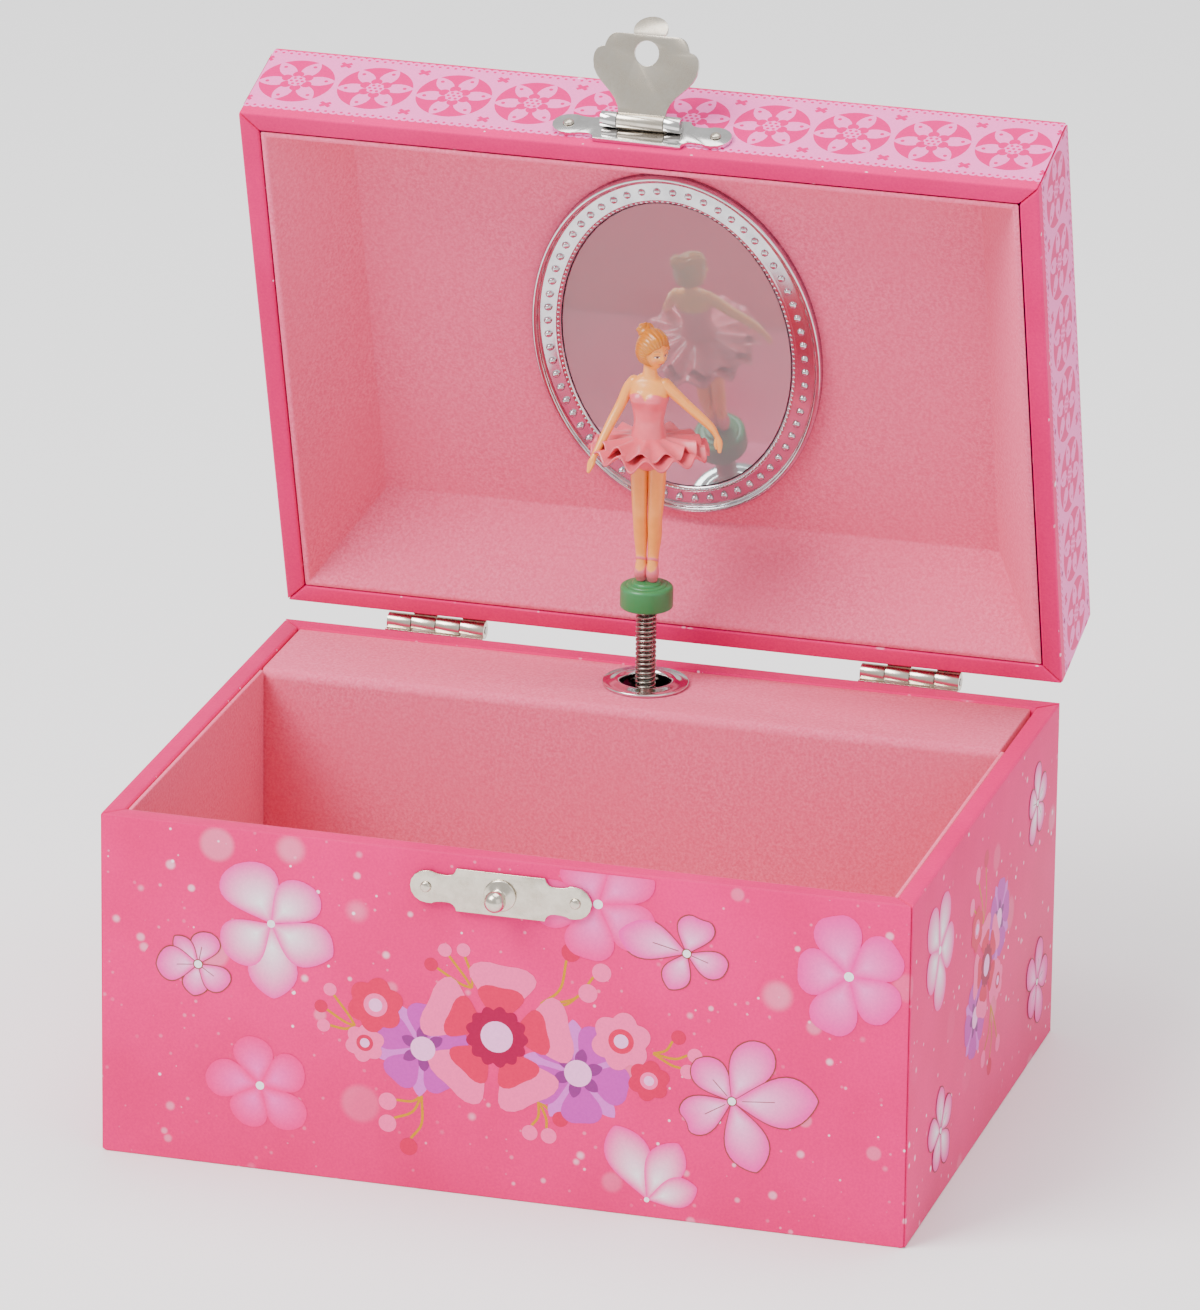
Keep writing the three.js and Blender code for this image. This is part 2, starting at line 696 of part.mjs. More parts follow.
// The dancer is one moulding. Heights are shares of its own height above the puck.
function dancer() {
  const at = (x, y, share) => [spindleX + x, spindleY + y, feetZ + share * dancerHeight];
  const parts = [
    limb(at(0, 0, 0.565), at(0, 0, 0.78), [3.1, 2.6, 3.4, 3.6, 2.4], 10),
    limb(at(0, -0.1, 0.76), at(0, -0.3, 0.86), [1.6, 1.4, 1.4], 8),
  ];
  const skirt = [
    [0, 0.5],
    [tutuRadius * 0.6, 0.53],
    [tutuRadius * 0.97, 0.5],
    [tutuRadius, 0.55],
    [tutuRadius * 0.6, 0.6],
    [0, 0.62],
  ].map(([radius, share]) => [radius, share * dancerHeight]);
  parts.push(turned(skirt, AXES.z, [spindleX, spindleY, feetZ], 16));
  for (const side of [-1, 1]) {
    parts.push(limb(at(side * 0.8, 0, 0), at(side * 1.4, 0, 0.56), [0.9, 1.5, 1.4, 2.3], 8));
  }
  parts.push(limb(at(-3.4, -0.2, 0.745), at(-6.6, -1.6, 0.6), [1.1, 1, 0.9]));
  parts.push(limb(at(-6.6, -1.6, 0.61), at(-10.4, -4.2, 0.45), [0.9, 0.8, 0.8]));
  parts.push(limb(at(3.4, -0.2, 0.745), at(8.6, -1.2, 0.67), [1.1, 1, 0.9]));
  parts.push(limb(at(8.4, -1.2, 0.675), at(12.2, -2.4, 0.54), [0.9, 0.8, 0.8]));
  const head = new THREE.SphereGeometry(headRadius, 10, 8).scale(0.92, 1, 1.08);
  const bun = new THREE.SphereGeometry(bunRadius, 8, 6);
  parts.push(head.rotateX(Math.PI / 2).translate(...at(0.4, -0.2, 0.9)));
  parts.push(bun.translate(...at(-0.8, 1.8, 0.975)));
  return join(...parts);
}

// ---------- Movement ----------
// The bedplate carries the comb's riser and the tab for the cylinder's upper bearing.
const combBack = spindleY + 0.6;
const combScrews = [drumZ + 2.6, drumZ + cylinderLength - 2.6];
const combX = spindleX - cylinderRadius - pinRise - 0.2;

function bedplate() {
  const width = [spindleX - bedplateLeft, spindleX + bedplateRight];
  const plate = box(width, [bedplateFront, bedplateBack], [arborZ - bedplateFoot, upperBearingZ + 3]);
  const joined = bedplateFront + 0.2;
  const riserX = [combX - combScrewInset - 3, combX - combScrewInset + 3];
  const riser = box(riserX, [combBack, joined], [drumZ - 0.4, drumZ + cylinderLength + 0.4]);
  const tabX = [spindleX - bearingTabHalf, spindleX + bearingTabHalf];
  const tabZ = [upperBearingZ - bearingTabThickness / 2, upperBearingZ + bearingTabThickness / 2];
  const tab = box(tabX, [spindleY - bearingTabHalf + 0.2, joined], tabZ);
  const through = [bedplateFront - 1, bedplateBack + 1];
  const holes = screwPlaces.map((place) => rod("y", screwShankRadius + 0.2, through, place, 12));
  holes.push(rod("y", arborRadius + 0.3, through, [spindleX, arborZ]));
  holes.push(rod("z", spindleRadius + 0.2, [upperBearingZ - 2, upperBearingZ + 2], [spindleX, spindleY], 16));
  for (const z of combScrews) {
    holes.push(rod("y", 1.2, [combBack - 1, combBack + 4.5], [combX - combScrewInset, z], 12));
  }
  return cut(join(plate, riser, tab), ...holes);
}

// A flat steel comb, one tooth for each note, its tips close to the cylinder's pins.
function comb() {
  const [tip, base] = [combX, combX - combTooth];
  const end = base - 6.5;
  const pitch = (cylinderLength - 1) / notes;
  const first = drumZ + 0.5;
  const points = [
    [end, first],
    [end, first + notes * pitch],
  ];
  for (let note = notes - 1; note >= 0; note--) {
    const z = first + note * pitch;
    const [low, high] = [z + pitch * 0.15, z + pitch * 0.85];
    points.push([base, high], [tip, high], [tip, low], [base, low]);
  }
  const plate = plateXZ(polygon(points.reverse()), combBack - glueGap - combThickness, combThickness);
  const through = [combBack - 3, combBack + 1];
  return cut(plate, ...combScrews.map((z) => rod("y", 1.2, through, [combX - combScrewInset, z], 12)));
}

function combScrew(z) {
  const face = combBack - combThickness - 2 * glueGap;
  const place = [combX - combScrewInset, z];
  const head = rod("y", 1.9, [face - 1.3, face], place, 14);
  const shank = rod("y", 1, [face - 0.1, combBack + 4], place, 10);
  return join(head, shank);
}

function mountingScrew([x, z]) {
  const seat = backFace + glueGap;
  const head = rod("y", screwHeadRadius, [seat, seat + 1.3], [x, z], 16);
  const shank = rod("y", screwShankRadius, [bedplateFront + 0.3, seat + 0.1], [x, z], 10);
  const slot = box([x - 3, x + 3], [seat + 0.7, seat + 3], [z - 0.3, z + 0.3]);
  return cut(join(head, shank), slot);
}

// The spring case: a cup held in front of the crown wheel by two legs, with the cylinder's
// lower bearing on top.
function springCase() {
  const front = springCaseFront;
  const back = front + springCaseDepth;
  const legIn = crownOuter + 0.7;
  const legOut = legIn + springCaseLeg;
  const legZ = [arborZ - springCaseLegHalf, arborZ + springCaseLegHalf];
  const centre = [spindleX, arborZ];
  const across = box([spindleX - legOut, spindleX + legOut], [back - 1.3, back], legZ);
  const pieces = [rod("y", springCaseRadius, [front, back], centre, 28), across];
  for (const side of [-1, 1]) {
    const reach = [spindleX + side * legIn, spindleX + side * legOut].sort((a, b) => a - b);
    pieces.push(box(reach, [back - 1, bedplateFront - glueGap], legZ));
  }
  const blockTop = pinionZ - pinionWidth / 2 - screwClearance;
  const blockX = [spindleX - springCaseLegHalf, spindleX + springCaseLegHalf];
  const blockZ = [arborZ + springCaseRadius - 2.2, blockTop];
  pieces.push(box(blockX, [spindleY - springCaseLegHalf, spindleY + 2], blockZ));
  const inside = rod("y", springCaseRadius - springCaseWall, [front + springCaseWall, back + 1], centre, 28);
  const bore = rod("y", arborRadius + runningGap, [front - 1, back], centre, 16);
  const socket = rod("z", pivotRadius + runningGap, [blockTop - 1.3, blockTop + 1], [spindleX, spindleY], 12);
  return cut(join(...pieces), inside, bore, socket);
}

// The mainspring: a flat strip wound in a spiral, drawn as two spirals a strip's width apart.
function mainspring() {
  const [inner, outer] = [arborRadius + 0.9, springCaseRadius - springCaseWall - 0.7];
  const steps = mainspringTurns * 14;
  const spiral = (offset) =>
    Array.from({ length: steps + 1 }, (_, i) => {
      const angle = (i / steps) * mainspringTurns * 2 * Math.PI;
      const radius = inner + (i / steps) * (outer - inner) + offset;
      return [spindleX + radius * Math.cos(angle), arborZ + radius * Math.sin(angle)];
    });
  const shape = polygon([...spiral(mainspringStrip), ...spiral(0).reverse()]);
  return plateXZ(shape, springCaseFront + springCaseWall + 0.5, springCaseDepth - springCaseWall - 1);
}

// The winding arbor runs from the spring case through the back wall to the key.
function windingArbor() {
  return rod("y", arborRadius, [springCaseFront + 0.1, backFace + 4], [spindleX, arborZ], 16);
}

// A crown wheel: a disc with teeth that stand out towards the cylinder's pinion.
function crownWheel() {
  const centre = [spindleX, arborZ];
  const pieces = [rod("y", crownOuter, [crownFace, crownFace + 1.2], centre, 40)];
  const tip = spindleY + pinionRadius - driveModule * 0.8;
  const half = driveModule * Math.PI * 0.25;
  for (let tooth = 0; tooth < crownTeeth; tooth++) {
    const angle = ((tooth + 0.5) * 2 * Math.PI) / crownTeeth;
    const tooth2d = polygon([
      [-half, crownFace + 0.1],
      [-half / 2, tip],
      [half / 2, tip],
      [half, crownFace + 0.1],
    ]);
    const wedge = new THREE.ExtrudeGeometry(tooth2d, { depth: 2.6, bevelEnabled: false });
    wedge.translate(0, 0, crownRadius - 1.3).rotateY(angle).translate(spindleX, 0, arborZ);
    pieces.push(wedge);
  }
  const bore = rod("y", arborRadius + pressFit, [crownFace - 1, crownFace + 3], centre, 16);
  return cut(join(...pieces), bore);
}

// The key outside the back wall: a stem with a butterfly grip.
function windingKey() {
  const start = backFace + 0.6;
  const reach = backFace + keyReach;
  const stem = rod("y", keyStemRadius, [start, reach - 7], [spindleX, arborZ], 20);
  const grip = new THREE.Shape();
  grip.moveTo(-keyStemRadius, 6);
  grip.bezierCurveTo(-keyHalfWidth * 1.2, 4, -keyHalfWidth * 1.2, keyReach + 1.5, 0, keyReach - 3);
  grip.bezierCurveTo(keyHalfWidth * 1.2, keyReach + 1.5, keyHalfWidth * 1.2, 4, keyStemRadius, 6);
  grip.lineTo(-keyStemRadius, 6);
  for (const side of [-1, 1]) grip.holes.push(circle(side * (keyHalfWidth / 2), 10.8, keyEyeRadius, 14));
  const wings = new THREE.ExtrudeGeometry(grip, { depth: keyThickness, bevelEnabled: false, curveSegments: 10 });
  wings.translate(spindleX, backFace, arborZ - keyThickness / 2);
  const socket = rod("y", arborRadius + pressFit, [start - 1, backFace + 4.1], [spindleX, arborZ], 16);
  return cut(join(stem, wings), socket);
}

// The drum, with pins whose places follow a fixed scattering rule.
function musicCylinder() {
  const drum = rod("z", cylinderRadius, [drumZ, drumZ + cylinderLength], [spindleX, spindleY], 28);
  const pieces = [drum];
  const pitch = (cylinderLength - 1) / notes;
  const pinsPerNote = 3;
  for (let i = 0; i < notes * pinsPerNote; i++) {
    const note = i % notes;
    const angle = (i * 2.4) % (2 * Math.PI);
    const z = drumZ + 0.5 + (note + 0.5) * pitch;
    const pin = new THREE.ConeGeometry(0.2, pinRise + 0.5, 4);
    pin.rotateZ(-Math.PI / 2).translate(cylinderRadius + (pinRise - 0.5) / 2, 0, 0);
    pieces.push(pin.rotateZ(angle).translate(spindleX, spindleY, z));
  }
  const through = [drumZ - 1, drumZ + cylinderLength + 1];
  const bore = rod("z", spindleRadius + pressFit, through, [spindleX, spindleY], 16);
  return cut(join(...pieces), bore);
}

// The cylinder's arbor, with the pinion driven by the crown wheel and the wheel that drives the
// governor.
function cylinderArbor() {
  const centre = [spindleX, spindleY];
  const pinion = gear(
    pinionTeeth,
    driveModule,
    { phase: Math.PI / 2, thickness: 0.46 },
    pinionWidth,
    [...centre, pinionZ],
  );
  const wheel = gear(
    cylinderWheelTeeth,
    fineModule,
    { phase: governorAngle, thickness: 0.44 },
    wheelWidth,
    [...centre, wheelZ + 0.35],
  );
  const foot = pinionZ - pinionWidth / 2;
  const shaft = rod("z", spindleRadius, [foot, holderBottom + 1.4], centre, 16);
  const pivot = rod("z", pivotRadius, [foot - screwClearance - 1.1, pinionZ], centre, 12);
  return join(pinion, wheel, shaft, pivot);
}

// The holder on top of the arbor: the spring is pushed over its plug and stands on its collar.
function springHolder() {
  const collarTop = springBottom - glueGap - holderBottom;
  const collar = springRadius + 0.6;
  const plugTop = platformTop + 2.4 - holderBottom;
  const socket = spindleRadius + 0.1;
  const profile = [
    [0, 1.5],
    [socket, 1.5],
    [socket, 0],
    [collar, 0],
    [collar, collarTop],
    [gripRadius, collarTop],
    [gripRadius, plugTop],
    [0, plugTop],
  ];
  return turned(profile, AXES.z, [spindleX, spindleY, holderBottom], 16);
}

// The governor's frame: a side plate with ears for the two arbors.
function governorFrame() {
  const plateStart = wormX + fanRadius + 0.6;
  const plateX = [plateStart, plateStart + governorFrameThickness];
  const reach = plateStart + 0.2;
  const frontY = governorY - governorFrontReach;
  const pieces = [
    box(plateX, [frontY, bedplateFront - glueGap], [pinionZ - 4.8, pinionZ + 5]),
    box([wormX - 2, reach], [frontY, frontY + governorFrameThickness], [pinionZ - 2, pinionZ + 2]),
    box([wormX - 1.6, reach], [crownFace - 0.9, crownFace + 0.3], [pinionZ - 1.6, pinionZ + 1.6]),
    box([governorX - 1.6, reach], [governorY - 1.6, governorY + 1.6], [pinionZ + 3.3, pinionZ + 4.3]),
    box([governorX - 1.6, reach], [governorY - 1.6, governorY + 1.6], [pinionZ - 3, pinionZ - 2]),
  ];
  const bore = finePivotRadius + runningGap;
  const wormBore = rod("y", bore, [frontY - 1, crownFace + 2], [wormX, pinionZ], 12);
  const wheelBore = rod("z", bore, [pinionZ - 4, pinionZ + 6], [governorX, governorY], 12);
  return cut(join(...pieces), wormBore, wheelBore);
}

function governorWheel() {
  const centre = [governorX, governorY];
  const facing = governorAngle + Math.PI;
  const pinion = gear(
    governorPinionTeeth,
    fineModule,
    { phase: facing + Math.PI / governorPinionTeeth, thickness: 0.44 },
    1.2,
    [...centre, wheelZ + 0.35],
  );
  const wheel = gear(wormWheelTeeth, fineModule, { phase: 0, thickness: 0.36 }, 1, [...centre, pinionZ]);
  const shaft = rod("z", 0.8, [pinionZ - 1.8, pinionZ + 3.1], centre, 12);
  const pivot = rod("z", finePivotRadius, [pinionZ - 2.8, pinionZ + 4.1], centre, 12);
  return join(pinion, wheel, shaft, pivot);
}

// A single-start worm thread: one four-sided section carried round and along +Y.
function wormThread(start, turns) {
  const pitch = Math.PI * fineModule;
  const stepsPerTurn = wormSides;
  const section = [
    [-0.3, wormRadius - 0.75],
    [-0.14, wormRadius + 0.34],
    [0.14, wormRadius + 0.34],
    [0.3, wormRadius - 0.75],
  ];
  const steps = turns * stepsPerTurn;
  const positions = [];
  for (let i = 0; i <= steps; i++) {
    const angle = (i / stepsPerTurn) * 2 * Math.PI;
    for (const [shift, radius] of section) {
      const along = start + shift * pitch + (i / stepsPerTurn) * pitch;
      positions.push(wormX - radius * Math.cos(angle), along, pinionZ + radius * Math.sin(angle));
    }
  }
  const corners = [0, 1, 2, 0, 2, 3];
  const last = steps * 4;
  for (let i = 0; i < last; i += 4) {
    for (let side = 0; side < 4; side++) {
      const [a, b] = [i + side, i + ((side + 1) % 4)];
      corners.push(a, b + 4, b, a, a + 4, b + 4);
    }
  }
  corners.push(last, last + 2, last + 1, last, last + 3, last + 2);
  const geometry = new THREE.BufferGeometry();
  geometry.setAttribute("position", new THREE.Float32BufferAttribute(positions, 3));
  return geometry.setIndex(corners);
}

// The worm spins fast and its two blades brake on the air, which keeps the tune's pace.
function wormFan() {
  const frontY = governorY - governorFrontReach;
  const centre = [wormX, pinionZ];
  const pitch = Math.PI * fineModule;
  const turns = 3;
  const start = governorY - (turns / 2) * pitch;
  const bladeY = [governorY + 4.6, governorY + 7.2];
  const blade = box([wormX - fanRadius, wormX + fanRadius], bladeY, [pinionZ - 0.3, pinionZ + 0.3]);
  const shaft = rod("y", wormRadius - 0.45, [frontY + 1.4, crownFace - 1.1], [0, 0], wormSides);
  shaft.rotateY(Math.PI / wormSides).translate(wormX, 0, pinionZ);
  const pivot = rod("y", finePivotRadius, [frontY + 0.3, crownFace + 0.1], centre, 12);
  return join(shaft, pivot, blade, wormThread(start, turns));
}

function addMovement(group) {
  add(group, "movement_bedplate", bedplate(), finishes.zinc);
  add(group, "spring_case", springCase(), finishes.zinc);
  add(group, "mainspring", mainspring(), finishes.steel);
  add(group, "comb", comb(), finishes.steel);
  combScrews.forEach((z, i) => add(group, "comb_screw_" + (i + 1), combScrew(z), finishes.steel));
  screwPlaces.forEach((place, i) => {
    add(group, "mounting_screw_" + (i + 1), mountingScrew(place), finishes.steel);
  });
  add(group, "winding_arbor", windingArbor(), finishes.steel);
  add(group, "great_wheel", crownWheel(), finishes.brass);
  add(group, "winding_key", windingKey(), finishes.nickel);
  add(group, "music_cylinder", musicCylinder(), finishes.brass);
  add(group, "cylinder_arbor", cylinderArbor(), finishes.brass);
  add(group, "spring_holder", springHolder(), finishes.nylon);
  add(group, "governor_frame", governorFrame(), finishes.zinc);
  add(group, "governor_wheel", governorWheel(), finishes.nylon);
  add(group, "worm_fan", wormFan(), finishes.nylon);
}

// ---------- Assembly ----------
const musicBox = new THREE.Group();

const caseGroup = new THREE.Group();
addCase(caseGroup);
addCaseLining(caseGroup);
addPlatform(caseGroup);
addEyelet(caseGroup);
addCatch(caseGroup);
for (const [side, x] of hinges) {
  add(caseGroup, "hinge_" + side + "_case_leaf", hingeLeaf(x, false), finishes.nickel);
  add(caseGroup, "hinge_" + side + "_pin", hingePin(x), finishes.steel);
}
addMovement(caseGroup);
add(caseGroup, "coil_spring", coilSpring(), finishes.nickel);
add(caseGroup, "figure_base", figureBase(), finishes.green);
add(caseGroup, "dancer", dancer(), finishes.skin);
musicBox.add(caseGroup);

// The lid's pieces are drawn closed, so their group turns about the hinge pins.
function swing(group, y, z, angle) {
  const pivot = new THREE.Group();
  group.position.set(0, -y, -z);
  pivot.position.set(0, y, z);
  pivot.rotation.x = angle;
  pivot.add(group);
  return pivot;
}

const lidGroup = new THREE.Group();
addLidBoards(lidGroup);
add(lidGroup, "lid_lining", lidLining(), finishes.flock);
addMirror(lidGroup);
addHasp(lidGroup);
for (const [side, x] of hinges) {
  add(lidGroup, "hinge_" + side + "_lid_leaf", hingeLeaf(x, true), finishes.nickel);
}
const haspGroup = new THREE.Group();
add(haspGroup, "hasp_flap", haspFlap(), finishes.nickel);
lidGroup.add(swing(haspGroup, haspY, haspZ, -haspOpenAngle));
musicBox.add(swing(lidGroup, hingeY, hingeZ, -lidOpenAngle));

export default musicBox;
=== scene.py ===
# %% [markdown]
# # A wind-up musical jewellery box
# The box is board wrapped in printed paper, lined with flocked card. A small dancer stands on a coil spring
# in front of an oval mirror in the lid, and a clockwork movement behind the compartment turns the dancer.
# The solid frame of the box is loaded first, with every hinge and gear in its place. This file dresses it:
# wrapped boards, printed flowers, lace bands, flock, plated fittings, the dancer and the mirror.
# Lengths are in millimetres in the functions, and become metres when a mesh is made.

# %% Load the frame
import json
import math

import bmesh
import bpy
import numpy as np
from mathutils import Matrix, Vector

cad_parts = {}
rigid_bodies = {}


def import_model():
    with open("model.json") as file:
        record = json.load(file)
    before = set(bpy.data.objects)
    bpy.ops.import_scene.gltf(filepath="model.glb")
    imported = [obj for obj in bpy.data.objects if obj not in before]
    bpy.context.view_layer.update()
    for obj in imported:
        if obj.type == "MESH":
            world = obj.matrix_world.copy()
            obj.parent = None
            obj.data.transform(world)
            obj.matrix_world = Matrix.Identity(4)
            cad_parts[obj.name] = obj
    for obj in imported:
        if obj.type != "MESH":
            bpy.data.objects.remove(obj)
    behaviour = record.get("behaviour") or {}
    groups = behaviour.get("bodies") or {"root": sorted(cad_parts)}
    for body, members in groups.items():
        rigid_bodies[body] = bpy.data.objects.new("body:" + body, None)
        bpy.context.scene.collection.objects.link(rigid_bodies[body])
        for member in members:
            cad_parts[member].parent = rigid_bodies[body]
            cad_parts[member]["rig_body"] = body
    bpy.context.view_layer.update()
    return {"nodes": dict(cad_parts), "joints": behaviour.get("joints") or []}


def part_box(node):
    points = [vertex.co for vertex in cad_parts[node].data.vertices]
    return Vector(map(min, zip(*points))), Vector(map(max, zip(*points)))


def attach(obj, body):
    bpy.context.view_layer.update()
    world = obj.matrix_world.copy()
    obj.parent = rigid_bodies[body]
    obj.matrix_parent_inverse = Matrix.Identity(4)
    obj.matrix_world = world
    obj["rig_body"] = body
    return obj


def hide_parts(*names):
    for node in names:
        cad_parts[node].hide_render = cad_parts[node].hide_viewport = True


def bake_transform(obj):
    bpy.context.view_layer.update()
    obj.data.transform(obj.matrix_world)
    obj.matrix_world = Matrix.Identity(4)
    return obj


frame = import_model()
MM = 0.001


# %% [markdown]
# ## Measures taken from the frame
# A look that is fitted by eye drifts when the frame changes, so each piece reads its place from the solid it
# dresses. The lid stands open. Its own pieces are easiest to think of on the closed lid, flat on the box, so
# they are made there and turned about the hinge line, exactly as the real lid is.

# %% Places on the box
def span(node):
    """Lowest and highest corner of a frame node, in millimetres."""
    low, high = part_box(node)
    return np.array(low) / MM, np.array(high) / MM


def joint(name):
    """The frame's joint of that name."""
    return next(j for j in frame["joints"] if j["name"] == name)


LID_HINGE = np.array(joint("lid_hinge")["pos_m"]) / MM
LID_OPEN = math.radians(joint("lid_hinge")["range_deg"][1])
case_high = span("case_right_panel")[1]
HALF_WIDTH = case_high[0]
FRONT, BACK = span("case_front_panel")[0][1], span("case_back_panel")[1][1]
RIM = case_high[2]
SPINDLE = (span("figure_base")[0] + span("figure_base")[1])[:2] / 2


def turned_about_x(points, centre, angle):
    """Points turned about a line along X through centre: y and z change by the sine and cosine of the
    angle."""
    points = np.asarray(points, float)
    y, z = points[..., 1] - centre[1], points[..., 2] - centre[2]
    turned = points.copy()
    turned[..., 1] = centre[1] + y * math.cos(angle) - z * math.sin(angle)
    turned[..., 2] = centre[2] + y * math.sin(angle) + z * math.cos(angle)
    return turned


def open_lid(points):
    """Points of the closed lid, carried to where they are on the open one."""
    return turned_about_x(points, LID_HINGE, -LID_OPEN)


def shut_lid(points):
    """The way back: points of the open lid, carried to the closed one."""
    return turned_about_x(points, LID_HINGE, LID_OPEN)


def shut_span(node):
    """Lowest and highest corner that a node of the lid has when the lid is shut."""
    mesh = frame["nodes"][node].data
    points = np.empty(len(mesh.vertices) * 3)
    mesh.vertices.foreach_get("co", points)
    points = shut_lid(points.reshape(-1, 3) / MM)
    return points.min(axis=0), points.max(axis=0)


print("case", 2 * HALF_WIDTH, "x", BACK - FRONT, "x", RIM, "mm, spindle at", SPINDLE)


# %% [markdown]
# ## Camera, light and floor
# A long lens from a little above and to the right keeps the box's edges almost parallel, as in a catalogue
# view. The light is a large soft source above and to the left, with a pale room all round, so that the paper
# stays bright, the flock shows its shade inside the box, and the metal has something pale to mirror.

# %% Camera
AZIMUTH, ELEVATION, ROLL = 0.2771, 0.3464, 0.0124
DISTANCE = 1894.9
LOOK_AT = np.array([2.11, 0.0, 86.22])
LENS = 284.2


def camera_axes(azimuth, elevation, roll):
    """Right, up and back directions of a camera that looks down by elevation and is turned round by
    azimuth."""
    back = np.array([math.sin(azimuth) * math.cos(elevation),
                     -math.cos(azimuth) * math.cos(elevation), math.sin(elevation)])
    right = np.cross(-back, [0, 0, 1])
    right /= np.linalg.norm(right)
    up = np.cross(right, -back)
    return (right * math.cos(roll) + up * math.sin(roll), up * math.cos(roll) - right * math.sin(roll), back)


def place_camera():
    """A camera at the catalogue view, with its three axes as the columns of its matrix."""
    camera = bpy.data.objects.new("camera", bpy.data.cameras.new("camera"))
    bpy.context.scene.collection.objects.link(camera)
    axes = camera_axes(AZIMUTH, ELEVATION, ROLL)
    matrix = np.eye(4)
    matrix[:3, :3] = np.array(axes).T
    matrix[:3, 3] = (LOOK_AT + axes[2] * DISTANCE) * MM
    camera.matrix_world = Matrix(matrix.tolist())
    camera.data.lens = LENS
    camera.data.sensor_width = 36
    camera.data.clip_start = 0.05
    bpy.context.scene.camera = camera
    return camera


print("camera at", [round(v, 3) for v in place_camera().matrix_world.translation])


# %% Soft studio light
def soft_light(name, place, aim, size, power):
    """A square area light of that size in metres, at place, pointing at aim."""
    light = bpy.data.objects.new(name, bpy.data.lights.new(name, "AREA"))
    bpy.context.scene.collection.objects.link(light)
    light.data.size = size
    light.data.energy = power
    light.location = place
    light.rotation_euler = (Vector(aim) - Vector(place)).to_track_quat("-Z", "Y").to_euler()
    return light


MIDDLE = (0.0, 0.0, 0.08)
soft_light("key_light", (-0.75, -0.75, 1.35), MIDDLE, 0.9, 36)
soft_light("fill_light", (1.2, -0.9, 0.7), MIDDLE, 1.2, 4)
soft_light("top_light", (0.1, 0.25, 1.5), MIDDLE, 1.0, 15)
world = bpy.data.worlds.new("pale_room")
world.use_nodes = True
world.node_tree.nodes["Background"].inputs["Color"].default_value = (0.93, 0.94, 0.95, 1)
world.node_tree.nodes["Background"].inputs["Strength"].default_value = 0.92
bpy.context.scene.world = world


# %% [markdown]
# ## Tools for finishes
# Every finish is a small node tree. Colours are written as the hex values a printer or painter would quote,
# and one function turns them to the linear values that the shader works in. One helper adds a node, sets it
# and wires it. Pattern sizes are written in millimetres, and `per_mm` turns a spacing to a texture scale.

# %% Colour and node helpers
def linear(code):
    """An sRGB hex colour as linear red, green, blue: each channel is undone by the sRGB curve."""
    channels = np.array([int(code[i:i + 2], 16) for i in (1, 3, 5)]) / 255
    low = channels / 12.92
    high = ((channels + 0.055) / 1.055) ** 2.4
    return np.where(channels <= 0.04045, low, high)


def rgba(code):
    """The same colour with full alpha, as a socket takes it."""
    return (*linear(code), 1.0)


def add_node(material, kind, settings=None, inputs=None):
    """Adds one node. Settings are its own options, and inputs are values, or the outputs that feed them."""
    made = material.node_tree.nodes.new("ShaderNode" + kind)
    for name, value in (settings or {}).items():
        setattr(made, name, value)
    for name, value in (inputs or {}).items():
        if isinstance(value, bpy.types.NodeSocket):
            material.node_tree.links.new(value, made.inputs[name])
        else:
            made.inputs[name].default_value = value
    return made


def per_mm(spacing):
    """Texture scale, in repeats a metre, of a pattern whose features are that many millimetres apart."""
    return 1 / (spacing * MM)


def new_finish(name):
    """An empty node material, with its output and shader ready to wire."""
    material = bpy.data.materials.new(name)
    material.use_nodes = True
    return material, material.node_tree.nodes["Principled BSDF"]


def wire(material, output, socket):
    """Links an output to a socket of the finish's shader."""
    material.node_tree.links.new(output, socket)


print("hot pink is", linear("#F965A3").round(3))


# %% [markdown]
# ## Printed paper
# The box is covered in offset-printed paper with a satin varnish. What gives it away is the print: a hot pink
# ground that is never quite even, soft pale bokeh dots, sharp white specks, and a trace of paper fibre. The
# dots could be drawn one by one, but a cell pattern does it better: a point falls at random in each cell, and
# everything nearer than the dot's radius is white. The radius follows the cell's own random value.

# %% Printed paper finish
def speckle(material, coordinates, spacing, radius, softness):
    """Share of white at a point: one in a dot, nought outside. The dots lie about a spacing apart."""
    cells = add_node(material, "TexVoronoi", {"feature": "F1"},
                     {"Vector": coordinates, "Scale": per_mm(spacing), "Randomness": 1.0})
    random = add_node(material, "SeparateColor", inputs={"Color": cells.outputs["Color"]})
    reach = add_node(material, "Math", {"operation": "MULTIPLY"},
                     {0: random.outputs["Red"], 1: radius / spacing})
    inside = add_node(material, "MapRange", {"interpolation_type": "SMOOTHSTEP"},
                      {"Value": cells.outputs["Distance"], "From Min": reach.outputs[0]})
    start = add_node(material, "Math", {"operation": "MULTIPLY"}, {0: reach.outputs[0], 1: 1 - softness})
    wire(material, start.outputs[0], inside.inputs["From Max"])
    faint = add_node(material, "Math", {"operation": "MULTIPLY"},
                     {0: inside.outputs["Result"], 1: random.outputs["Green"]})
    return faint.outputs[0]


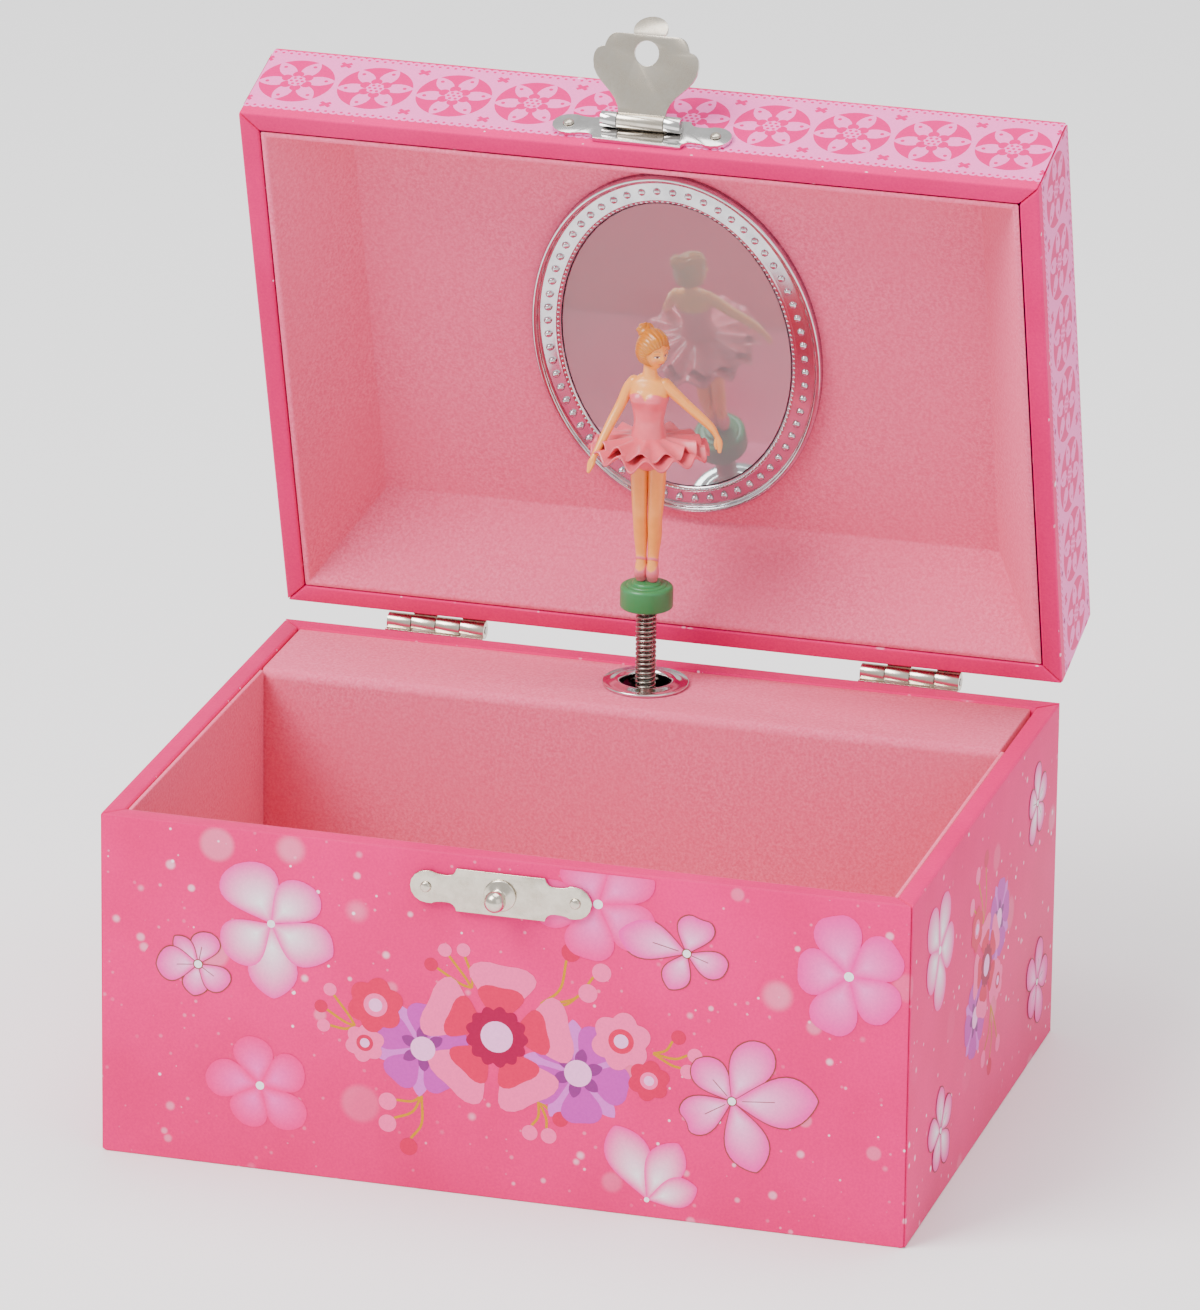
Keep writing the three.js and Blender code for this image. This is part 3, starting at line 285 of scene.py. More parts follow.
def printed_paper(name, ground, deep, pale, specks=True):
    """Satin printed paper: a mottled ground of three close inks, with pale dots where specks is true."""
    material, shader = new_finish(name)
    coordinates = add_node(material, "TexCoord").outputs["Object"]
    clouds = add_node(material, "TexNoise",
                      inputs={"Vector": coordinates, "Scale": per_mm(26), "Detail": 5.0})
    cloud = add_node(material, "MapRange",
                     inputs={"Value": clouds.outputs["Fac"], "From Min": 0.32, "From Max": 0.68})
    colour = add_node(material, "MixRGB",
                      inputs={"Fac": cloud.outputs["Result"], "Color1": rgba(deep), "Color2": rgba(pale)})
    even = add_node(material, "MixRGB",
                    inputs={"Fac": 0.5, "Color1": colour.outputs[0], "Color2": rgba(ground)})
    fibre = add_node(material, "TexNoise",
                     inputs={"Vector": coordinates, "Scale": per_mm(0.45), "Detail": 3.0})
    grain = add_node(material, "MapRange",
                     inputs={"Value": fibre.outputs["Fac"], "From Min": 0.3, "From Max": 0.7,
                                                   "To Min": 0.94, "To Max": 1.05})
    inked = add_node(material, "MixRGB", {"blend_type": "MULTIPLY"},
                     {"Fac": 1.0, "Color1": even.outputs[0], "Color2": grain.outputs["Result"]})
    printed = inked.outputs[0]
    if specks:
        drifts = add_node(material, "TexNoise",
                          inputs={"Vector": coordinates, "Scale": per_mm(34), "Detail": 1.0})
        drift = add_node(material, "MapRange",
                         inputs={"Value": drifts.outputs["Fac"], "From Min": 0.38, "From Max": 0.6,
                                                       "To Min": 0.6, "To Max": 1.2})
        for spacing, radius, softness, strength in ((13.0, 4.4, 0.35, 0.2), (5.2, 1.25, 0.6, 1.0),
                                                    (2.3, 0.55, 0.6, 1.25)):
            share = add_node(material, "Math", {"operation": "MULTIPLY"},
                             {0: speckle(material, coordinates, spacing, radius, softness), 1: strength})
            white = add_node(material, "Math", {"operation": "MULTIPLY", "use_clamp": True},
                             {0: share.outputs[0], 1: drift.outputs[0]})
            printed = add_node(material, "MixRGB", inputs={"Fac": white.outputs[0], "Color1": printed,
                                                           "Color2": rgba("#FFDCEE")}).outputs[0]
    wire(material, printed, shader.inputs["Base Color"])
    relief = add_node(material, "Bump",
                      inputs={"Strength": 0.12, "Distance": 0.00003, "Height": fibre.outputs["Fac"]})
    wire(material, relief.outputs[0], shader.inputs["Normal"])
    shader.inputs["Roughness"].default_value = 0.46
    shader.inputs["Specular IOR Level"].default_value = 0.1
    return material


HOT_PINK = "#EA006E"
WRAP = printed_paper("printed_paper", HOT_PINK, "#D60062", "#F2087C")
RIM_PAPER = printed_paper("rim_paper", "#DC0468", "#CE005E", "#E81474", specks=False)
print("paper finishes:", WRAP.name, RIM_PAPER.name)


# %% [markdown]
# ## Printed inks
# The flowers are further inks on the same sheet. They are made as thin printed shapes that carry their colour
# on their points, because a petal's soft change from white to pink is a property of the petal, not of the
# space it lies in. The ink finish reads that colour and adds the same fibre as the paper around it.

# %% Ink finish
INK = "ink"


def printed_ink(name):
    """Satin ink whose colour is painted on the points, with the paper's own fibre showing through."""
    material, shader = new_finish(name)
    coordinates = add_node(material, "TexCoord").outputs["Object"]
    colour = add_node(material, "Attribute", {"attribute_name": INK}).outputs["Color"]
    fibre = add_node(material, "TexNoise",
                     inputs={"Vector": coordinates, "Scale": per_mm(0.45), "Detail": 3.0})
    grain = add_node(material, "MapRange",
                     inputs={"Value": fibre.outputs["Fac"], "From Min": 0.3, "From Max": 0.7,
                                                   "To Min": 0.95, "To Max": 1.04})
    inked = add_node(material, "MixRGB", {"blend_type": "MULTIPLY"},
                     {"Fac": 1.0, "Color1": colour, "Color2": grain.outputs["Result"]})
    wire(material, inked.outputs[0], shader.inputs["Base Color"])
    shader.inputs["Roughness"].default_value = 0.46
    shader.inputs["Specular IOR Level"].default_value = 0.1
    return material


INKS = printed_ink("printed_ink")
print("ink finish:", INKS.name)


# %% [markdown]
# ## Flock
# The lining is card sprayed with glue and dusted with short rayon fibre, which stands on end. It has no
# shine at all, a velvety bloom at grazing angles, and a grain of light and dark fibre tips. Real fibres are
# 0.02 mm across, far too fine to show, so the grain here is drawn at about half a millimetre.

# %% Flock finish
def flocked(name, colour, dark, light):
    """Flocked card: two scales of grain between a dark and a light tone, matt, with a soft sheen."""
    material, shader = new_finish(name)
    coordinates = add_node(material, "TexCoord").outputs["Object"]
    tips = add_node(material, "TexNoise",
                    inputs={"Vector": coordinates, "Scale": per_mm(0.55), "Detail": 4.0, "Roughness": 0.7})
    wear = add_node(material, "TexNoise", inputs={"Vector": coordinates, "Scale": per_mm(17), "Detail": 3.0})
    spread = add_node(material, "MapRange",
                      inputs={"Value": tips.outputs["Fac"], "From Min": 0.36, "From Max": 0.64})
    grain = add_node(material, "MixRGB",
                     inputs={"Fac": spread.outputs[0], "Color1": rgba(dark), "Color2": rgba(light)})
    brushed = add_node(material, "MapRange",
                       inputs={"Value": wear.outputs["Fac"], "From Min": 0.35, "From Max": 0.65,
                                                     "To Min": 0.35, "To Max": 0.6})
    mixed = add_node(material, "MixRGB",
                     inputs={"Fac": brushed.outputs[0], "Color1": grain.outputs[0], "Color2": rgba(colour)})
    wire(material, mixed.outputs[0], shader.inputs["Base Color"])
    relief = add_node(material, "Bump",
                      inputs={"Strength": 0.35, "Distance": 0.0001, "Height": tips.outputs["Fac"]})
    wire(material, relief.outputs[0], shader.inputs["Normal"])
    shader.inputs["Roughness"].default_value = 0.95
    shader.inputs["Specular IOR Level"].default_value = 0.15
    shader.inputs["Sheen Weight"].default_value = 0.07
    shader.inputs["Sheen Roughness"].default_value = 0.5
    shader.inputs["Sheen Tint"].default_value = rgba("#F6CBD2")
    return material


FLOCK = flocked("flocked_card", "#EE688C", "#DC5078", "#F884A4")
print("flock finish:", FLOCK.name)


# %% [markdown]
# ## Metals
# Stamped steel fittings are barrel-plated in nickel: a warm silver that mirrors softly, with faint handling
# scratches. The eyelet and the mirror's frame are brighter. The movement's metals are turned or cast. One
# function serves them all, because what changes is the tint, the polish and how long the scratches are.

# %% Metal finish
def metal(name, tint, shade, polish, grain_mm, unevenness=0.06):
    """A metal with two close tints in fine patches, and a polish that varies a little from place to place."""
    material, shader = new_finish(name)
    coordinates = add_node(material, "TexCoord").outputs["Object"]
    patches = add_node(material, "TexNoise",
                       inputs={"Vector": coordinates, "Scale": per_mm(grain_mm), "Detail": 5.0,
                               "Roughness": 0.62})
    even = add_node(material, "MapRange",
                    inputs={"Value": patches.outputs["Fac"], "From Min": 0.35, "From Max": 0.65})
    colour = add_node(material, "MixRGB",
                      inputs={"Fac": even.outputs[0], "Color1": rgba(tint), "Color2": rgba(shade)})
    rough = add_node(material, "MapRange",
                     inputs={"Value": patches.outputs["Fac"], "From Min": 0.3, "From Max": 0.7,
                                                   "To Min": polish - unevenness,
                             "To Max": polish + unevenness})
    wire(material, colour.outputs[0], shader.inputs["Base Color"])
    wire(material, rough.outputs[0], shader.inputs["Roughness"])
    relief = add_node(material, "Bump",
                      inputs={"Strength": 0.08, "Distance": 0.00002, "Height": patches.outputs["Fac"]})
    wire(material, relief.outputs[0], shader.inputs["Normal"])
    shader.inputs["Metallic"].default_value = 1.0
    return material


NICKEL = metal("nickel_plate", "#D6CDBF", "#C4B9A9", 0.24, 2.4)
CHROME = metal("chrome_eyelet", "#DEDCDA", "#CBC8C6", 0.13, 3.0, 0.04)
SILVERED = metal("silvered_plastic", "#D2D1D3", "#BDBCC0", 0.17, 4.0, 0.05)
SPRING_STEEL = metal("spring_wire", "#A79D92", "#8C8278", 0.27, 1.2)
BRIGHT_STEEL = metal("bright_steel", "#B9B7B3", "#9F9D99", 0.3, 2.0)
BRASS = metal("machined_brass", "#D9B765", "#C39F4C", 0.28, 1.6)
ZINC = metal("die_cast_zinc", "#A9ABB0", "#92959B", 0.45, 1.0)
GLASS = metal("silvered_mirror", "#CDDBDD", "#C8D7D9", 0.03, 30.0, 0.01)
GLASS.node_tree.nodes["Principled BSDF"].inputs["Metallic"].default_value = 0.72
print("metals:", [m.name for m in (NICKEL, CHROME, SILVERED, SPRING_STEEL, BRIGHT_STEEL, BRASS, ZINC, GLASS)])


# %% [markdown]
# ## Plastics
# The turning base is green polypropylene, moulded, with a soft shine. The governor's fan is white nylon. The
# dancer is a vinyl casting, sprayed and brushed with a few glossy paints, so its colours lie on its points
# and a thin clear gloss lies over all of them.

# %% Plastic finishes
def moulded_plastic(name, colour, shade, roughness):
    """Moulded plastic: two close tones in slow flow marks, and the fine orange peel of the mould."""
    material, shader = new_finish(name)
    coordinates = add_node(material, "TexCoord").outputs["Object"]
    flow = add_node(material, "TexNoise", inputs={"Vector": coordinates, "Scale": per_mm(5), "Detail": 3.0})
    tone = add_node(material, "MixRGB",
                    inputs={"Fac": flow.outputs["Fac"], "Color1": rgba(colour), "Color2": rgba(shade)})
    peel = add_node(material, "TexNoise", inputs={"Vector": coordinates, "Scale": per_mm(0.7), "Detail": 2.0})
    relief = add_node(material, "Bump",
                      inputs={"Strength": 0.1, "Distance": 0.00005, "Height": peel.outputs["Fac"]})
    wire(material, tone.outputs[0], shader.inputs["Base Color"])
    wire(material, relief.outputs[0], shader.inputs["Normal"])
    shader.inputs["Roughness"].default_value = roughness
    return material


def painted_vinyl(name):
    """Glossy paint over soft vinyl: the colour lies on the points, with a clear coat and a little glow in
    it."""
    material, shader = new_finish(name)
    coordinates = add_node(material, "TexCoord").outputs["Object"]
    colour = add_node(material, "Attribute", {"attribute_name": INK}).outputs["Color"]
    brush = add_node(material, "TexNoise",
                     inputs={"Vector": coordinates, "Scale": per_mm(1.4), "Detail": 3.0})
    tone = add_node(material, "MapRange",
                    inputs={"Value": brush.outputs["Fac"], "From Min": 0.3, "From Max": 0.7,
                                                  "To Min": 0.95, "To Max": 1.04})
    paint = add_node(material, "MixRGB", {"blend_type": "MULTIPLY"},
                     {"Fac": 1.0, "Color1": colour, "Color2": tone.outputs[0]})
    wire(material, paint.outputs[0], shader.inputs["Base Color"])
    shader.inputs["Roughness"].default_value = 0.36
    shader.inputs["Coat Weight"].default_value = 0.35
    shader.inputs["Coat Roughness"].default_value = 0.15
    shader.inputs["Subsurface Weight"].default_value = 0.12
    shader.inputs["Subsurface Radius"].default_value = (0.0012, 0.0006, 0.0004)
    return material


GREEN = moulded_plastic("green_polypropylene", "#2F7E45", "#3A8E52", 0.34)
NYLON = moulded_plastic("white_nylon", "#EFEBE0", "#E6E0D3", 0.5)
VINYL = painted_vinyl("painted_vinyl")
print("plastics:", GREEN.name, NYLON.name, VINYL.name)


# %% [markdown]
# ## Floor
# A plain pale sheet, large enough that its edge is never in view.

# %% Floor
def studio_floor():
    """One large square at the height the box stands on."""
    half = 6.0
    mesh = bpy.data.meshes.new("floor")
    mesh.from_pydata([(-half, -half, 0), (half, -half, 0), (half, half, 0), (-half, half, 0)], [],
                     [(0, 1, 2, 3)])
    floor = bpy.data.objects.new("floor", mesh)
    bpy.context.scene.collection.objects.link(floor)
    material, shader = new_finish("pale_card")
    coordinates = add_node(material, "TexCoord").outputs["Object"]
    shade = add_node(material, "TexNoise",
                     inputs={"Vector": coordinates, "Scale": per_mm(900), "Detail": 1.0})
    tone = add_node(material, "MixRGB",
                    inputs={"Fac": shade.outputs["Fac"], "Color1": rgba("#F8F7F7"),
                            "Color2": rgba("#FAF9F9")})
    wire(material, tone.outputs[0], shader.inputs["Base Color"])
    shader.inputs["Roughness"].default_value = 0.9
    mesh.materials.append(material)
    return floor


print("floor:", studio_floor().name)


# %% [markdown]
# ## From arrays to pieces
# A new piece is one or more grids of points, worked out with whole arrays. Each grid becomes quads between
# neighbouring rows and columns. A seam or a pole is a row or column that meets itself, and welding closes it.
# A piece that the frame already has in its true shape is a merged copy with its edges rounded by a bevel,
# because no stamped, moulded or folded edge is perfectly sharp, and the rounding is what catches the light.

# %% Mesh helpers
WELD = 1e-7


def grid_quads(rows, columns):
    """Quads of a grid of rows by columns points, each from a point, its right, upper right and upper
    neighbour."""
    corner = (np.arange(rows - 1)[:, None] * columns + np.arange(columns - 1)[None, :]).ravel()
    return np.stack([corner, corner + 1, corner + columns + 1, corner + columns], axis=1)


def make_piece(name, grids, body, finish, colours=None, solid=True, smooth=True):
    """One mesh from point grids in millimetres. Colours, if given, are one linear colour grid or value
    for each.
    A solid piece is welded and turned to face outwards; a printed sheet keeps the way it was drawn."""
    points = np.concatenate([g.reshape(-1, 3) for g in grids]) * MM
    starts = np.cumsum([0] + [g.shape[0] * g.shape[1] for g in grids[:-1]])
    quads = np.concatenate([grid_quads(*g.shape[:2]) + s for g, s in zip(grids, starts)])
    mesh = bpy.data.meshes.new(name)
    mesh.from_pydata(points.tolist(), [], quads.tolist())
    if colours is not None:
        spread = [np.broadcast_to(c, (*g.shape[:2], 3)).reshape(-1, 3) for g, c in zip(grids, colours)]
        rgba_points = np.concatenate([np.concatenate(spread), np.ones((len(points), 1))], axis=1)
        mesh.attributes.new(INK, "FLOAT_COLOR", "POINT").data.foreach_set("color", rgba_points.ravel())
    shape = bmesh.new()
    shape.from_mesh(mesh)
    bmesh.ops.remove_doubles(shape, verts=shape.verts, dist=WELD)
    if solid:
        bmesh.ops.recalc_face_normals(shape, faces=shape.faces)
    shape.to_mesh(mesh)
    shape.free()
    mesh.polygons.foreach_set("use_smooth", [smooth] * len(mesh.polygons))
    return finish_piece(bpy.data.objects.new(name, mesh), body, finish)


def finish_piece(piece, body, finish):
    """Links a piece to the scene and gives it its finish and its body."""
    bpy.context.scene.collection.objects.link(piece)
    piece.data.materials.clear()
    piece.data.materials.append(finish)
    if body:
        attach(piece, body)
    return piece


def body_of(node):
    """The body that a frame node rides on."""
    return frame["nodes"][node]["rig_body"]


def softened(node, finish, edge, steps=3, sharp=30):
    """A merged copy of a frame node, with every edge sharper than the angle rounded to that width in mm."""
    mesh = frame["nodes"][node].data.copy()
    shape = bmesh.new()
    shape.from_mesh(mesh)
    bmesh.ops.remove_doubles(shape, verts=shape.verts, dist=WELD)
    bmesh.ops.dissolve_limit(shape, angle_limit=math.radians(1), verts=shape.verts, edges=shape.edges)
    shape.to_mesh(mesh)
    shape.free()
    mesh.polygons.foreach_set("use_smooth", [True] * len(mesh.polygons))
    piece = finish_piece(bpy.data.objects.new(node + "_finished", mesh), body_of(node), finish)
    bevel = piece.modifiers.new("rounded_edges", "BEVEL")
    bevel.width = edge * MM
    bevel.segments = steps
    bevel.limit_method = "ANGLE"
    bevel.angle_limit = math.radians(sharp)
    bevel.harden_normals = True
    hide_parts(node)
    return piece


def revolved(profile, centre, axis="Z", sides=64, sweep=(0.0, 2 * math.pi)):
    """A profile of (radius, height) pairs turned about an axis: cosine and sine of the turn, times the
    radius."""
    profile = np.asarray(profile, float)
    turn = np.linspace(*sweep, sides + 1)
    radius, height = profile[:, :1], profile[:, 1:]
    ring = [radius * np.cos(turn), radius * np.sin(turn), height + 0 * turn]
    order = {"X": (2, 0, 1), "Y": (1, 2, 0), "Z": (0, 1, 2)}[axis]
    return np.stack([ring[i] for i in order], axis=-1) + np.asarray(centre, float)


def arc(centre, radius, start, end, steps=8):
    """Points of an arc about centre, from one angle in degrees to another."""
    angle = np.radians(np.linspace(start, end, steps))
    return [(centre[0] + radius * math.cos(a), centre[1] + radius * math.sin(a)) for a in angle]


print("mesh helpers ready")


# %% [markdown]
# ## The wrapped boards
# The case and the lid are 3.7 mm grey board, mitred at the corners and wrapped in paper that folds over the
# rim. The frame holds the boards in their true shape, so each is copied and its edges get the small radius
# that paper makes as it folds over board. The fold is a plain pink strip: the faces along the rim are given
# the rim paper, and the rest the printed one.

# %% Wrapped boards
FOLD = 0.45


def rim_faces(piece, direction):
    """Gives the plain rim paper to the faces that look along a direction."""
    piece.data.materials.append(RIM_PAPER)
    for face in piece.data.polygons:
        if face.normal.dot(direction) > 0.9:
            face.material_index = 1


LID_RIM_WAY = Vector((open_lid(LID_HINGE + [0, 0, -1]) - LID_HINGE).tolist())
for side in ("front", "back", "left", "right", "bottom"):
    rim_faces(softened(f"case_{side}_panel", WRAP, FOLD), Vector((0, 0, 1)))
for side in ("front", "back", "left", "right", "top"):
    rim_faces(softened(f"lid_{side}_panel", WRAP, FOLD), LID_RIM_WAY)
print("boards wrapped, with a fold of", FOLD, "mm")


# %% [markdown]
# ## The flocked linings
# The compartment is lined with thin flocked card, cut to size and dropped in. Behind it a flocked board bends
# over the movement: one radius along its front edge, and nothing else to hold it. The lid holds a shallow
# tray of the same card, creased where its four sides slope in. The cards' edges fray slightly, which a
# rounding of half their thickness is enough to suggest.

# %% Flocked linings
for card in ("floor_lining", "front_lining", "left_lining", "right_lining"):
    softened(card, FLOCK, 0.25, steps=2)
softened("platform_cover", FLOCK, 0.3, steps=2)
softened("lid_lining", FLOCK, 0.35, steps=3)
print("linings flocked")


# %% [markdown]
# ## Tubes along a path
# Limbs, the spring's wire and rolled edges are all a section carried along a path. The path is a smooth cubic
# through a few knots, and each knot also gives the section's two half-widths, so a limb swells at the calf
# and narrows at the ankle in one piece. Rounded ends close the tube.

# %% Paths and tubes
def through(knots, count):
    """A smooth line through knots: each stretch is the cubic that follows the chords of its neighbours."""
    knots = np.asarray(knots, float)
    padded = np.vstack([2 * knots[0] - knots[1], knots, 2 * knots[-1] - knots[-2]])
    at = np.linspace(0, len(knots) - 1, count)
    i = np.minimum(at.astype(int), len(knots) - 2)
    t = (at - i)[:, None]
    a, b, c, d = padded[i], padded[i + 1], padded[i + 2], padded[i + 3]
    return 0.5 * (2 * b + (c - a) * t + (2 * a - 5 * b + 4 * c - d) * t ** 2 + (3 * b - a - 3 * c
                                                                                + d) * t ** 3)


def tube(path, radii, sides=24, facing=(0, 1, 0), domes=4):
    """A closed tube: at each point of the path, an ellipse whose first half-width lies across facing and
    whose second lies along it. Each end is closed by a dome of rows that shrink as the cosine of an angle."""
    path, radii = np.asarray(path, float), np.asarray(radii, float)
    radii = radii if radii.ndim == 2 else np.stack([radii, radii], axis=1)
    along = np.gradient(path, axis=0)
    along /= np.linalg.norm(along, axis=1, keepdims=True)
    across = np.cross(along, np.broadcast_to(facing, along.shape))
    across /= np.linalg.norm(across, axis=1, keepdims=True)
    toward = np.cross(across, along)
    dome = np.radians(np.linspace(90, 0, domes + 1))[:-1, None]
    first = path[0] - along[0] * radii[0].mean() * np.sin(dome)
    last = path[-1] + along[-1] * radii[-1].mean() * np.sin(dome[::-1])
    rows = np.vstack([first, path, last])
    widths = np.vstack([radii[0] * np.cos(dome), radii, radii[-1] * np.cos(dome[::-1])])
    grow = lambda v: np.vstack([np.repeat(v[:1], domes, 0), v, np.repeat(v[-1:], domes, 0)])
    turn = np.linspace(0, 2 * math.pi, sides + 1)
    return (rows[:, None] + grow(across)[:, None] * (widths[:, :1] * np.cos(turn))[..., None]
            + grow(toward)[:, None] * (widths[:, 1:] * np.sin(turn))[..., None])


def limb(knots, count=28, sides=20, **options):
    """A tube through knots of (x, y, z, half-width across, half-width along)."""
    line = through(knots, count)
    return tube(line[:, :3], line[:, 3:5], sides, **options)


print("tube helpers ready")


# %% [markdown]
# ## The coil spring
# The dancer stands on a close-wound spring, so that it can bow under the closing lid and jump up again. The
# spring is a helix: the angle goes round as the height goes up, one pitch a turn. The frame bends it by a
# joint where it leaves the eyelet. A real spring bends all along its length; here the wire is one straight
# helix, and rides on no body of the frame.

# %% Coil spring
SPRING_WIRE = 0.7
SPRING_PITCH = 0.92


def coil_spring():
    """Round wire along a helix: x and y by cosine and sine of the turn, z by the pitch."""
    low, high = span("coil_spring")
    radius = (high[0] - low[0]) / 2 - SPRING_WIRE / 2
    height = high[2] - low[2] - SPRING_WIRE
    turns = height / SPRING_PITCH
    turn = np.linspace(0, 2 * math.pi * turns, int(turns * 28))
    path = np.stack([SPINDLE[0] + radius * np.cos(turn), SPINDLE[1] + radius * np.sin(turn),
                     low[2] + SPRING_WIRE / 2 + height * turn / turn[-1]], axis=1)
    wire_grid = tube(path, np.full(len(path), SPRING_WIRE / 2), 10, facing=(0, 0, 1), domes=3)
    piece = make_piece("spring_wire", [wire_grid], None, SPRING_STEEL)
    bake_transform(piece)
    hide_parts("coil_spring")
    return turns


print("spring turns:", round(coil_spring(), 1))


# %% [markdown]
# ## Eyelet and turning base
# The spring comes up through a rolled eyelet, like a large rivet: a flange that curls over and dives into the
# hole. The base is a moulded puck with rounded edges and a low boss where the dancer's feet are fixed. Both
# are round about the spindle, so each is a profile turned once.

# %% Eyelet and base
def eyelet():
    """A turned profile: up the bore, over a rolled lip, down the sloping flange and back under it."""
    low, high = span("spring_eyelet")
    outer, top, bottom = (high[0] - low[0]) / 2, high[2], low[2]
    bore, seat = 4.75, top - 1.1
    profile = [(bore, bottom), (bore, top - 0.75)]
    profile += arc((bore + 0.75, top - 0.75), 0.75, 180, 60, 8)
    profile += [(bore + 1.7, top - 0.35), (outer - 1.0, top - 0.62)]
    profile += arc((outer - 0.4, seat + 0.4), 0.4, 60, -90, 6)
    profile += [(bore + 0.7, seat), (bore + 0.7, bottom), (bore, bottom)]
    piece = make_piece("rolled_eyelet", [revolved(profile, (*SPINDLE, 0), sides=96)],
                       "case", CHROME)
    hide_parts("spring_eyelet")
    return outer


BASE_HEIGHT, BOSS_RISE = 4.4, 0.6


def turning_base():
    """A puck turned from a profile with rounded corners, a shallow step, and a boss under the feet."""
    low, high = span("figure_base")
    radius, top = (high[0] - low[0]) / 2, high[2] - BOSS_RISE
    bottom, rounding = top - BASE_HEIGHT, 0.7
    profile = [(0, bottom)] + arc((radius - 0.4, bottom + 0.4), 0.4, -90, 0, 5)
    profile += arc((radius - rounding, top - rounding), rounding, 0, 90, 8)
    profile += [(3.9, top)] + arc((3.5, top - 0.05), 0.3, 0, 90, 4) + [(0, top + 0.25)]
    boss = [(0, top + 0.2), (2.9, top + 0.2)] + arc((2.4, top + 0.3), 0.4, 0, 90, 5) + [(0, top + 0.72)]
    piece = make_piece("turning_base", [revolved(p, (*SPINDLE, 0), sides=72) for p in (profile, boss)],
                       body_of("figure_base"), GREEN)
    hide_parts("figure_base")
    return top


print("eyelet radius", round(eyelet(), 2), "mm, base top at", round(turning_base(), 1), "mm")


# %% [markdown]
# ## The dancer
# The dancer is a hollow vinyl casting 51 mm tall. It is small, but it is what everybody looks at, so it is
# built up as a sculptor would block it: legs, body, skirt, arms, then the head with its hair and bun. Every
# part is a closed grid, and they sink into each other as cast forms do. The paint is a colour on the points.

# %% Paints and placing
SKIN, HAIR, DRESS, SHOES = linear("#FBA648"), linear("#C87A00"), linear("#EC6474"), linear("#E66E7E")
BLUSH, LIPS, LASHES = linear("#F29C78"), linear("#D65A55"), linear("#4A2A22")
feet_low = span("dancer")[0]
FEET = feet_low[2]


def on_figure(grid):
    """Figure measures, from the middle of the feet, carried to where the dancer stands."""
    return np.asarray(grid, float) + [SPINDLE[0], SPINDLE[1], FEET]


def smooth_step(value, start, end):
    """Nought before start, one after end, and a smooth S between."""
    t = np.clip((value - start) / (end - start), 0, 1)
    return t * t * (3 - 2 * t)


def paint(first, second, share):
    """Two paints mixed by a share at each point."""
    return first + (second - first) * share[..., None]


def bump_at(grid, centre, width, height):
    """A soft mound: the height falls away as a bell curve with the distance from its centre."""
    gap = np.linalg.norm((grid - np.asarray(centre)) / np.asarray(width), axis=-1)
    return height * np.exp(-gap ** 2)


# %% Legs and shoes
def leg(side):
    """One leg on pointe, in knots from hip to toe, with the shoe's satin painted and raised below the
    ankle."""
    knots = [(side * 1.8, 0.1, 27.6, 1.9, 1.9), (side * 1.72, 0.1, 22.0, 1.72, 1.8),
             (side * 1.58, 0.0, 15.5, 1.5, 1.5),
             (side * 1.45, -0.1, 12.6, 1.38, 1.4), (side * 1.35, 0.25, 9.0, 1.32, 1.45),
             (side * 1.2, 0.1, 5.6, 1.05, 1.05),
             (side * 1.1, -0.1, 3.6, 1.0, 1.1), (side * 1.15, -0.35, 1.8, 1.15, 1.2),
             (side * 1.1, -0.2, 0.75, 0.95, 0.85)]
    grid = limb(knots, count=90, sides=32)
    front = np.clip(-(grid[..., 1]) / 1.2, -1, 1)
    edge = 3.3 - 1.0 * front + 0.5 * np.abs(grid[..., 0] - side * 1.1)
    shoe = smooth_step(grid[..., 2], edge + 0.12, edge - 0.12)
    ribbon = smooth_step(np.abs(grid[..., 2] - 4.3 - 0.6 * front), 0.34, 0.2)
    centre = grid.mean(axis=1, keepdims=True)
    out = grid - centre
    out /= np.maximum(np.linalg.norm(out, axis=-1, keepdims=True), 1e-6)
    satin = np.maximum(shoe, ribbon)
    return grid + out * (0.1 * satin)[..., None], paint(SKIN, SHOES, satin)


